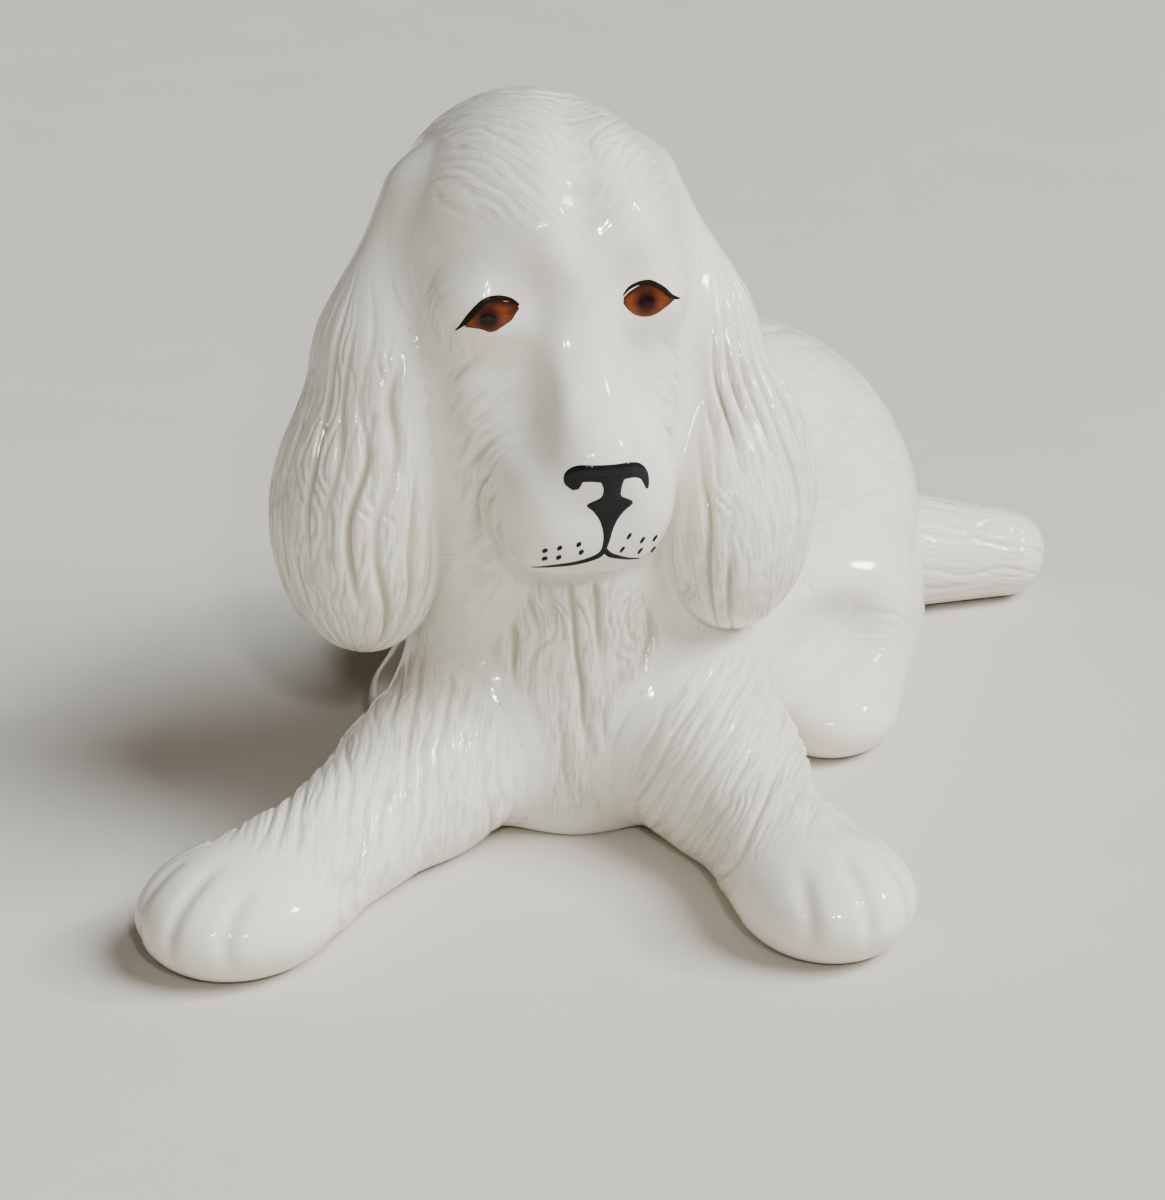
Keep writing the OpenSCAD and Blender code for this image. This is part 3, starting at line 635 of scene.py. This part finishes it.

# %% [markdown]
# ## The glaze
# Porcelain glaze is clear and wet-looking. It runs off the crowns of the hair and pools in the partings,
# where it looks darker and more beige; that beige is partly pooled glaze and partly painted shade for the
# shade that falls in the partings. Those partings are kept on each vertex, so the colour follows the relief.


# %% Node helpers
def plug(tree, value, socket):
    """Feeds an input from another node's socket, or fills in a plain value."""
    if isinstance(value, bpy.types.NodeSocket):
        tree.links.new(value, socket)
    else:
        socket.default_value = value


def add_node(tree, kind, **settings):
    """A node with its settings made and its inputs fed."""
    node = tree.nodes.new(kind)
    for title, value in settings.items():
        if title in node.inputs:
            plug(tree, value, node.inputs[title])
        else:
            setattr(node, title, value)
    return node


def mix_colours(tree, factor, first, second):
    """A colour mix; each of the three may be a socket or a plain value."""
    node = add_node(tree, "ShaderNodeMix", data_type="RGBA")
    for number, value in ((0, factor), (6, first), (7, second)):
        plug(tree, value, node.inputs[number])
    return node.outputs[2]


def worked_out(tree, operation, *values):
    """A product or other operation on sockets and plain values."""
    node = add_node(tree, "ShaderNodeMath", operation=operation)
    for value, socket in zip(values, node.inputs):
        plug(tree, value, socket)
    return node.outputs[0]


def spread(tree, value, given, wanted=(0.0, 1.0), kind="LINEAR"):
    """Maps the range `given` of a socket onto the range `wanted`, and stops at its ends."""
    ends = dict(zip(("From Min", "From Max", "To Min", "To Max"), (*given, *wanted)))
    return add_node(tree, "ShaderNodeMapRange", interpolation_type=kind, Value=value, **ends).outputs[0]


def cloudy(tree, place, **settings):
    """Smooth noise, about 0 to 1, over a place."""
    return add_node(tree, "ShaderNodeTexNoise", Vector=place, **settings).outputs["Fac"]


def bumpy(tree, height, strength, distance):
    """The surface's direction, tilted by a height."""
    bump = add_node(tree, "ShaderNodeBump", Strength=strength, Distance=distance, Height=height)
    return bump.outputs["Normal"]


def object_place(tree):
    """Socket with the place on the object, in metres."""
    return add_node(tree, "ShaderNodeTexCoord").outputs["Object"]


def kept_measure(title, low=None, high=None):
    """Maker of a socket with a number kept on the vertices, turned into 0 to 1 between `low` and `high`
    where these are given."""

    def socket(tree):
        measure = add_node(tree, "ShaderNodeAttribute", attribute_name=title).outputs["Fac"]
        return measure if low is None else spread(tree, measure, (low, high), kind="SMOOTHSTEP")

    return socket


def new_group(title, inputs, outputs):
    """A shader node group with named sockets, what it is given and what it makes."""
    group = bpy.data.node_groups.new(title, "ShaderNodeTree")
    for way, sockets in (("INPUT", inputs), ("OUTPUT", outputs)):
        for name, kind in sockets.items():
            group.interface.new_socket(name, in_out=way, socket_type="NodeSocket" + kind)
    return group, group.nodes.new("NodeGroupInput").outputs, group.nodes.new("NodeGroupOutput").inputs


def new_material(title):
    """A material, its node tree and its main shader's inputs."""
    material = bpy.data.materials.new(title)
    material.use_nodes = True
    return material, material.node_tree, material.node_tree.nodes["Principled BSDF"].inputs


def matt_material(title, roughness, scale, first, second):
    """A matt finish, mottled between two colours: as new_material, and the mottling."""
    material, tree, shader = new_material(title)
    shader["Roughness"].default_value = roughness
    mottling = cloudy(tree, object_place(tree), Scale=scale, Detail=4.0)
    plug(tree, mix_colours(tree, mottling, first, second), shader["Base Color"])
    return material, tree, shader, mottling


# %% Glaze and strands
RIPPLE_DEPTH = 0.012  # of the glaze
STRAND_DEPTH = 0.22  # of a single hair
STRAND_DRAW = 0.14  # breadth of a hair over its length


def glaze_group():
    """Glaze over any body: the colour darkens where it pools and where shade is painted in, clouds a little,
    and the surface ripples. Relief is a height in millimetres."""
    group, given, made = new_group(
        "Glaze",
        {"Colour": "Color", "Pool and shade colour": "Color", "Pooling and shade": "Float", "Relief": "Float"},
        {"Colour": "Color", "Roughness": "Float", "Normal": "Vector"},
    )
    place = object_place(group)
    clouds = cloudy(group, place, Scale=55.0, Detail=3.0, Roughness=0.55)
    veil = spread(group, clouds, (0.35, 0.7), (0.0, 0.22))
    clouded = mix_colours(group, veil, given["Colour"], given["Pool and shade colour"])
    # the second colour, mixed in by that share, is pooled glaze and painted shade
    plug(group, mix_colours(group, given["Pooling and shade"], clouded, given["Pool and shade colour"]), made["Colour"])
    plug(group, spread(group, clouds, (0.0, 1.0), (0.06, 0.14)), made["Roughness"])
    ripple = cloudy(group, place, Scale=420.0, Detail=2.0)
    height = worked_out(group, "MULTIPLY_ADD", ripple, RIPPLE_DEPTH, given["Relief"])
    plug(group, bumpy(group, height, 1.0, MM), made["Normal"])
    return group


def strand_group():
    """Height in millimetres of single hairs, and the darkening between them, pooled glaze and painted shade:
    noise drawn out along the comb."""
    group, given, made = new_group(
        "Strands",
        {"Across": "Float", "Along": "Float", "Hairy": "Float"},
        {"Height": "Float", "Pooling and shade": "Float"},
    )
    along = worked_out(group, "MULTIPLY", given["Along"], STRAND_DRAW)
    place = add_node(group, "ShaderNodeCombineXYZ", X=given["Across"], Y=along).outputs[0]
    strands = cloudy(group, place, Scale=1.5, Detail=2.0, Roughness=0.6, Distortion=0.3)
    height = worked_out(group, "MULTIPLY", strands, given["Hairy"])
    plug(group, worked_out(group, "MULTIPLY", height, STRAND_DEPTH), made["Height"])
    # hollows between the strands darken: pooled glaze and painted shade
    hollow = spread(group, strands, (0.56, 0.32), (0.0, 0.75), kind="SMOOTHSTEP")
    plug(group, worked_out(group, "MULTIPLY", hollow, given["Hairy"]), made["Pooling and shade"])
    return group


GLAZE = glaze_group()
STRANDS = strand_group()


def glazed_material(title, colour, pool_and_shade_colour, pooling_and_shade, shine=0.5):
    """A glossy glazed finish. Its colours, and the share that says where the glaze pools or shade is painted
    in, are plain values or functions that make a socket in the tree."""
    material, tree, shader = new_material(title)
    shader["IOR"].default_value = 1.52
    shader["Specular IOR Level"].default_value = shine
    glaze = add_node(tree, "ShaderNodeGroup", node_tree=GLAZE, name="Glaze")
    for socket, value in (("Colour", colour), ("Pool and shade colour", pool_and_shade_colour), ("Pooling and shade", pooling_and_shade)):
        plug(tree, value(tree) if callable(value) else value, glaze.inputs[socket])
    for socket, target in (("Colour", "Base Color"), ("Roughness", "Roughness"), ("Normal", "Normal")):
        plug(tree, glaze.outputs[socket], shader[target])
    return material


def porcelain_material():
    """White body under glaze, with single hairs drawn from the comb's coordinates on the vertices, and
    beige partings of pooled glaze and painted shade.
    """
    # beige: pooled glaze and painted shade in the partings and between the strands
    white, beige = (0.845, 0.8, 0.7, 1), (0.53, 0.475, 0.35, 1)
    material = glazed_material("glazed_porcelain", white, beige, kept_measure("parting", 0.1, 1.0))
    tree = material.node_tree
    strands = add_node(tree, "ShaderNodeGroup", node_tree=STRANDS)
    for socket, title in (("Across", "comb_across"), ("Along", "comb_along"), ("Hairy", "hairy")):
        plug(tree, kept_measure(title)(tree), strands.inputs[socket])
    glaze = tree.nodes["Glaze"].inputs
    plug(tree, strands.outputs["Height"], glaze["Relief"])
    parting = glaze["Pooling and shade"].links[0].from_socket
    plug(tree, worked_out(tree, "MAXIMUM", parting, strands.outputs["Pooling and shade"]), glaze["Pooling and shade"])
    body = tree.nodes["Principled BSDF"].inputs
    body["Subsurface Weight"].default_value = 0.15
    body["Subsurface Radius"].default_value = (0.004, 0.003, 0.002)
    body["Subsurface Scale"].default_value = 0.5
    return material


porcelain = porcelain_material()


# %% The nine castings
def girth_of(grid):
    """Distance round the piece to each column, measured along its longest row."""
    steps = np.sqrt(((np.roll(grid, -1, axis=1) - grid) ** 2).sum(-1))
    longest = steps[steps.sum(1).argmax()]
    return np.concatenate([[0], np.cumsum(longest)[:-1]])


def cast_piece(name):
    """Walks the rays of one casting to its skin, presses its hair in and makes the piece."""
    starts, aims = rays_of(castings[name])
    shape = starts.shape
    starts, aims = starts.reshape(-1, 3), aims.reshape(-1, 3)
    far = reach(lambda points: to_piece(points, name), starts, aims)
    points = starts + aims * far[:, None]
    normals = upright(lambda spots: to_dog(spots, company(name))[0], points)
    lead = lead_of(name, to_dog(points, company(name))[1])
    girth = np.broadcast_to(girth_of(points.reshape(shape)), shape[:2]).reshape(-1)
    height, measures = reliefs[name](points, girth, lead)
    above = ramp(0.3, 3, points[:, 2])  # the skin keeps still where it meets the table
    points = points + normals * (height * above)[:, None]
    points[:, 2] = np.maximum(points[:, 2], 0)
    vertices = one_vertex_each(points.reshape(shape))
    faces = closed_faces(*shape[:2])
    kept = {title: one_vertex_each(values.reshape(shape[:2])) for title, values in measures.items()}
    made = make_piece(name + "_skin", vertices, faces, porcelain, kept)
    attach(made, "root")
    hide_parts(name)
    print(name, "faces", len(faces), "shortest ray", round(float(far.min()), 2))


for name in castings:
    cast_piece(name)

# %% [markdown]
# ## Enamel on the face
# The eyes, nose and mouth are brush marks, fired on over the glaze. Each mark is a stroke: a path with a
# width along it, drawn on a plane in front of the face and laid back onto the skin. It is a thin
# closed shell that stands a few hundredths of a millimetre proud in the middle and sinks in at its edges.

# %% Strokes and how they are laid on
FINEST_STROKE = 0.06
PLANE_AHEAD = 50.0  # of the drawing plane, forward of the skull's middle
EDGE_SINK, SLAB_DEPTH = 0.02, 0.15  # how far an edge and the underside lie below the skin
LAYER_STEP = 0.012  # how much higher each further stroke of a mark lies, so that none flicker


def through(rows, count):
    """Smooth run through a few rows of numbers: cubic pieces whose slopes come from the neighbours."""
    rows = np.array(rows, float)
    padded = np.concatenate([2 * rows[:1] - rows[1:2], rows, 2 * rows[-1:] - rows[-2:-1]])
    place = np.linspace(0, len(rows) - 1, count)
    piece = np.minimum(place.astype(int), len(rows) - 2)
    t = (place - piece)[:, None]
    before, first, last, after = (padded[piece + step] for step in range(4))
    return (
        first
        + 0.5 * t * (last - before)
        + t * t * (before - 2.5 * first + 2 * last - 0.5 * after)
        + t * t * t * (1.5 * (first - last) + 0.5 * (after - before))
    )


def stroke(rows, steps=48, across_steps=9):
    """Grid of (across, up) places: a path through rows of across, up and width, spread to both sides along
    its normal by half its width."""
    run = through(rows, steps)
    middle, width = run[:, :2], np.maximum(run[:, 2:], FINEST_STROKE)
    heading = unit(np.gradient(middle, axis=0))
    normal = np.stack([-heading[:, 1], heading[:, 0]], -1)
    aside = np.linspace(-0.5, 0.5, across_steps)
    return middle[:, None] + normal[:, None] * (width * aside)[..., None]


def blot(middle, width, height, tilt=0.0, steps=24, across_steps=13):
    """Grid of an oval mark: chords of an ellipse, sine long, at cosine places along its axis."""
    turn = np.linspace(0.02, 0.98, steps) * np.pi
    aside = np.linspace(-0.5, 0.5, across_steps)
    x = -np.cos(turn)[:, None] * width / 2 + 0 * aside
    y = np.sin(turn)[:, None] * height * aside
    cosine, sine = np.cos(np.radians(tilt)), np.sin(np.radians(tilt))
    return np.stack([x * cosine - y * sine, x * sine + y * cosine], -1) + middle


def lay_on(grid, lift):
    """Lays a grid of (across, up) places onto the head from in front: top and bottom of a thin slab."""
    rows, columns = grid.shape[:2]
    in_front = np.stack([grid[..., 0], np.full((rows, columns), -PLANE_AHEAD), grid[..., 1]], -1)
    starts = HEAD_AT + in_front.reshape(-1, 3) @ HEAD_TURN.T
    aims = np.broadcast_to(HEAD_TURN @ np.array([0, 1.0, 0]), starts.shape)
    far = reach(lambda points: -to_piece(points, "head"), starts, aims)
    points = starts + aims * far[:, None]
    normals = upright(lambda spots: to_piece(spots, "head"), points)
    edge = np.linspace(-1, 1, columns) ** 4
    proud = np.broadcast_to(lift * (1 - edge) - EDGE_SINK * edge, (rows, columns)).reshape(-1)
    return points + normals * proud[:, None], points - normals * SLAB_DEPTH


def slab_faces(rows, columns):
    """Faces of a closed slab: its top grid, its bottom grid turned over and the four walls between them."""
    top = np.arange(rows * columns).reshape(rows, columns)
    under = rows * columns
    quads = np.stack([top[:-1, :-1], top[1:, :-1], top[1:, 1:], top[:-1, 1:]], -1).reshape(-1, 4)
    rim = np.concatenate([top[0, :-1], top[:-1, -1], top[-1, :0:-1], top[:0:-1, 0]])
    following = np.roll(rim, -1)
    walls = np.stack([rim, following, following + under, rim + under], -1)
    return np.concatenate([quads, quads[:, [0, 3, 2, 1]] + under, walls])


def paint(node, grids, lift, material, measures=None):
    """One piece of enamel from one or more grids, in place of the CAD node of that name. Its faces are
    turned over if the volume that they enclose comes out negative."""
    vertices, faces, start = [], [], 0
    for number, grid in enumerate(grids):
        top, bottom = lay_on(grid, lift + LAYER_STEP * number)
        vertices += [top, bottom]
        faces.append(slab_faces(*grid.shape[:2]) + start)
        start += 2 * len(top)
    vertices, faces = np.concatenate(vertices), np.concatenate(faces)
    corners = vertices[faces]
    facing = np.cross(corners[:, 1] - corners[:, 0], corners[:, 3] - corners[:, 0])
    faces = faces if (corners[:, 0] * facing).sum() > 0 else faces[:, ::-1]
    kept = {title: np.tile(values.reshape(-1), 2) for title, values in (measures or {}).items()}
    made = make_piece(node + "_paint", vertices, faces.tolist(), material, kept)
    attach(made, "root")
    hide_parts(node)
    print(node, "faces", len(faces))


# %% [markdown]
# ## Eyes
# Each eye is a drop of amber with its corner drawn out and down, darker round the rim, with painted shade
# under the lid and a brown-black pupil. A dark line follows the upper lid and runs on past the outer corner.


# %% Enamel finishes
def streaks(tree):
    """Fine brush streaks on the enamel, from stretched noise."""
    place = add_node(tree, "ShaderNodeMapping", Vector=object_place(tree), Scale=(900, 900, 2600)).outputs[0]
    return spread(tree, cloudy(tree, place, Scale=1.0, Detail=3.0), (0.3, 0.75))


def iris_colour(tree):
    """Amber that runs to chestnut round the pupil and at the rim, with streaks between."""
    amber = mix_colours(tree, streaks(tree), (0.19, 0.049, 0.014, 1), (0.125, 0.03, 0.01, 1))
    inner = mix_colours(tree, kept_measure("from_pupil", 2.2, 0.9)(tree), amber, (0.03, 0.009, 0.007, 1))
    return mix_colours(tree, kept_measure("from_pupil", 2.1, 3.9)(tree), inner, (0.07, 0.018, 0.008, 1))


ENAMEL_SHINE, LID_SHINE = 0.16, 0.04  # thin enamel mirrors less than the thick glaze
# the near-black second colour over the upper part of the iris is painted shade under the lid
iris_enamel = glazed_material(
    "amber_enamel", iris_colour, (0.02, 0.008, 0.006, 1), kept_measure("under_lid", 0.55, 1.0), ENAMEL_SHINE
)
pupil_enamel = glazed_material(
    "pupil_enamel", (0.007, 0.004, 0.004, 1), (0.02, 0.007, 0.005, 1), streaks, ENAMEL_SHINE
)
lid_enamel = glazed_material(
    "lid_enamel", (0.008, 0.005, 0.004, 1), (0.022, 0.013, 0.009, 1), streaks, LID_SHINE
)
black_enamel = glazed_material(
    "black_enamel", (0.006, 0.0065, 0.0075, 1), (0.013, 0.0135, 0.0145, 1), streaks, ENAMEL_SHINE
)

# %% Painting the eyes
PUPIL_WIDTH = 2.1
EYES = {  # rows of across, up and width, from the inner corner outwards; by hand, so not mirror images
    "left": {
        "iris": [
            (6.6, -2.7, 0.9), (7.4, -2.8, 2.7), (8.6, -2.95, 4.3), (9.9, -3.0, 4.8),
            (11.4, -3.05, 4.1), (12.7, -3.2, 2.4), (14.0, -3.4, 0.3),
        ],
        "lid": [
            (6.6, -2.0, 0.25), (7.5, -1.15, 0.5), (8.9, -0.65, 0.6), (10.5, -0.7, 0.7),
            (12.2, -1.8, 0.85), (13.4, -2.95, 0.75), (15.0, -3.7, 0.15),
        ],
        "pupil": (9.8, -3.2),
    },
    "right": {
        "iris": [
            (-7.7, -2.4, 0.6), (-8.5, -2.55, 2.0), (-9.4, -2.85, 3.2), (-10.5, -3.1, 4.0),
            (-11.8, -3.5, 4.35), (-13.1, -3.95, 3.1), (-14.6, -4.9, 0.3),
        ],
        "lid": [
            (-7.6, -2.1, 0.3), (-8.7, -1.4, 0.6), (-10.2, -1.05, 0.75), (-11.7, -1.25, 0.85),
            (-12.9, -2.1, 0.95), (-14.2, -3.7, 0.85), (-15.6, -5.7, 0.2),
        ],
        "pupil": (-11.8, -3.7),
    },
}


def paint_eye(side, eye):
    """Iris, pupil and lid line of one eye."""
    iris = stroke(eye["iris"], steps=60, across_steps=25)
    pupil = blot(eye["pupil"], PUPIL_WIDTH, PUPIL_WIDTH)
    share = np.broadcast_to(np.linspace(0, 1, iris.shape[1]), iris.shape[:2])
    measures = {
        "from_pupil": np.sqrt(((iris - eye["pupil"]) ** 2).sum(-1)),
        # share across the iris towards the lid, which sets the painted shade under it
        "under_lid": share if side == "left" else 1 - share,
    }
    paint(side + "_iris", [iris], 0.05, iris_enamel, measures)
    paint(side + "_pupil", [pupil], 0.09, pupil_enamel)
    paint(side + "_lid_line", [stroke(eye["lid"])], 0.08, lid_enamel)


for side, eye in EYES.items():
    paint_eye(side, eye)

# %% [markdown]
# ## Nose, mouth and whiskers
# The black of the nose is a bar that droops round two bare nostrils, and a stem with a short arm to
# each side and a point that runs down to the mouth. The mouth droops away from it, and small slanted
# dots mark the whiskers.

# %% Painting the nose and mouth
NOSE_BAR = [
    (-3.5, -23.8, 0.9), (-3.65, -23.1, 2.1), (-3.8, -22.3, 2.5), (-3.0, -21.6, 2.6), (-1.4, -21.5, 2.5),
    (1.1, -21.7, 2.8), (3.3, -21.6, 2.4), (4.8, -21.9, 2.1), (5.9, -22.7, 1.6), (6.3, -23.7, 1.15),
    (6.5, -24.8, 0.5),
]
NOSE_STEM = [
    (1.3, -22.0, 4.4), (1.35, -23.2, 3.1), (1.35, -24.2, 2.7), (1.3, -25.2, 3.2), (1.27, -26.3, 6.8),
    (1.23, -27.5, 4.5), (1.18, -28.7, 2.7), (1.1, -30.1, 1.55), (1.0, -31.5, 1.05), (0.7, -33.0, 0.8),
]
MOUTH_RIGHT = [
    (0.7, -33.0, 0.8), (0.2, -33.8, 0.95), (-1.1, -34.4, 0.85), (-3.1, -34.9, 0.75),
    (-5.0, -35.2, 0.65), (-6.8, -35.6, 0.45), (-8.2, -36.2, 0.15),
]
MOUTH_LEFT = [
    (0.7, -33.0, 0.8), (1.6, -34.0, 0.85), (3.1, -34.7, 0.65), (4.7, -35.3, 0.45), (6.3, -35.7, 0.15),
]
WHISKERS_RIGHT = [(-7.1, -32.8), (-5.3, -32.3), (-2.8, -31.9), (-7.0, -34.1), (-5.3, -33.8), (-2.4, -33.1)]
WHISKERS_LEFT = [(3.3, -33.4), (4.1, -31.4), (6.1, -32.4), (6.0, -34.2), (8.1, -32.7), (8.3, -34.9)]
WHISKER_SLANT = 60  # degrees

nose = [stroke(NOSE_BAR, steps=100), stroke(NOSE_STEM, steps=100)]
mouth = [stroke(MOUTH_RIGHT), stroke(MOUTH_LEFT)]
whiskers = [blot(middle, 0.85, 0.75, WHISKER_SLANT, steps=10, across_steps=5) for middle in WHISKERS_RIGHT]
whiskers += [blot(middle, 1.05, 0.6, WHISKER_SLANT, steps=10, across_steps=5) for middle in WHISKERS_LEFT]
paint("nose_enamel", nose, 0.08, black_enamel)
paint("mouth_line", mouth, 0.07, black_enamel)
paint("whisker_dots", whiskers, 0.05, black_enamel)

# %% [markdown]
# ## Slip in the joints
# The slip that holds the castings together is the same clay, unglazed and matt. It lies hidden between
# the pieces, so the CAD nodes stay as they are and only get a dry, chalky finish.


# %% Slip
def slip_material():
    """Dry fired slip: pale, matt and slightly gritty."""
    pale, dark = (0.80, 0.75, 0.66, 1), (0.64, 0.58, 0.48, 1)
    material, tree, shader, grit = matt_material("dry_slip", 0.85, 900.0, pale, dark)
    plug(tree, bumpy(tree, grit, 0.4, 0.2 * MM), shader["Normal"])
    return material


dry_slip = slip_material()
slip_nodes = [node for name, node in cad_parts.items() if name.endswith("_slip")]
for node in slip_nodes:
    node.data.materials.clear()
    node.data.materials.append(dry_slip)
print("slip joints:", len(slip_nodes))

# %% [markdown]
# ## Floor, light and camera
# The dog lies on a plain pale floor. Soft daylight comes from the upper right. It would be a broad white
# patch on the glaze, so it isn't mirrored there; three small lamps are, for the sharp glints of a
# wet-looking surface. The camera looks down on the dog from straight ahead.

# %% Stage
FLOOR_HALF = 12.0  # metres, so that its edge stays out of every view
LAMP_TARGET = (0, -10, 45)


def pale_floor():
    """A wide flat sheet with a faintly uneven pale finish."""
    mesh = bpy.data.meshes.new("floor")
    corners = [(x * FLOOR_HALF, y * FLOOR_HALF, 0) for x, y in ((-1, -1), (1, -1), (1, 1), (-1, 1))]
    mesh.from_pydata(corners, [], [(0, 1, 2, 3)])
    dark, pale = (0.61, 0.565, 0.49, 1), (0.66, 0.61, 0.535, 1)
    mesh.materials.append(matt_material("pale_floor", 0.9, 40.0, dark, pale)[0])
    floor = in_scene("floor", mesh)


def aim_at(thing, place, target):
    """Puts a lamp or the camera at `place`, looking at `target`, both in millimetres."""
    thing.location = [value * MM for value in place]
    towards = Vector(target) - Vector(place)
    thing.rotation_euler = towards.to_track_quat("-Z", "Y").to_euler()


def add_lamp(title, kind, place, **settings):
    """A lamp aimed at the dog, with its settings made."""
    data = bpy.data.lights.new(title, kind)
    for setting, value in settings.items():
        setattr(data, setting, value)
    lamp = in_scene(title, data)
    aim_at(lamp, place, LAMP_TARGET)
    return lamp


def soft_room():
    """Even faint light from all round."""
    world = bpy.data.worlds.new("soft_room")
    world.use_nodes = True
    background = world.node_tree.nodes["Background"].inputs
    background["Color"].default_value = (1.0, 0.88, 0.66, 1)
    background["Strength"].default_value = 0.07
    bpy.context.scene.world = world


pale_floor()
soft_room()
daylight = add_lamp("daylight", "SUN", (650, -290, 820), energy=5.3, angle=np.radians(38))
daylight.data.color = (0.87, 0.94, 1.02)
daylight.visible_glossy = False
for title, place, width, power in (
    ("glint", (70, -700, 420), 46, 1.6),
    ("second_glint", (-50, -720, 410), 30, 0.7),
    ("window", (740, -35, 555), 110, 3.0),
):
    add_lamp(title, "AREA", place, shape="DISK", size=width * MM, energy=power)

# %% Camera
IMAGE_LONG_SIDE = 1200  # pixels of the photograph's frame
FOCAL_PIXELS = 4525.5
CAMERA_DISTANCE = 620.0
CAMERA_RISE = np.radians(22)
CAMERA_TARGET = np.array([0, -30.0, 36])
camera_data = bpy.data.cameras.new("photo_view")
camera_data.sensor_fit = "AUTO"
camera_data.sensor_width = 36.0
camera_data.lens = FOCAL_PIXELS / IMAGE_LONG_SIDE * camera_data.sensor_width
camera = in_scene("photo_view", camera_data)
camera_place = CAMERA_TARGET + CAMERA_DISTANCE * np.array([0, -np.cos(CAMERA_RISE), np.sin(CAMERA_RISE)])
aim_at(camera, camera_place, CAMERA_TARGET)
bpy.context.scene.camera = camera
print("lens in mm:", round(camera_data.lens, 1))
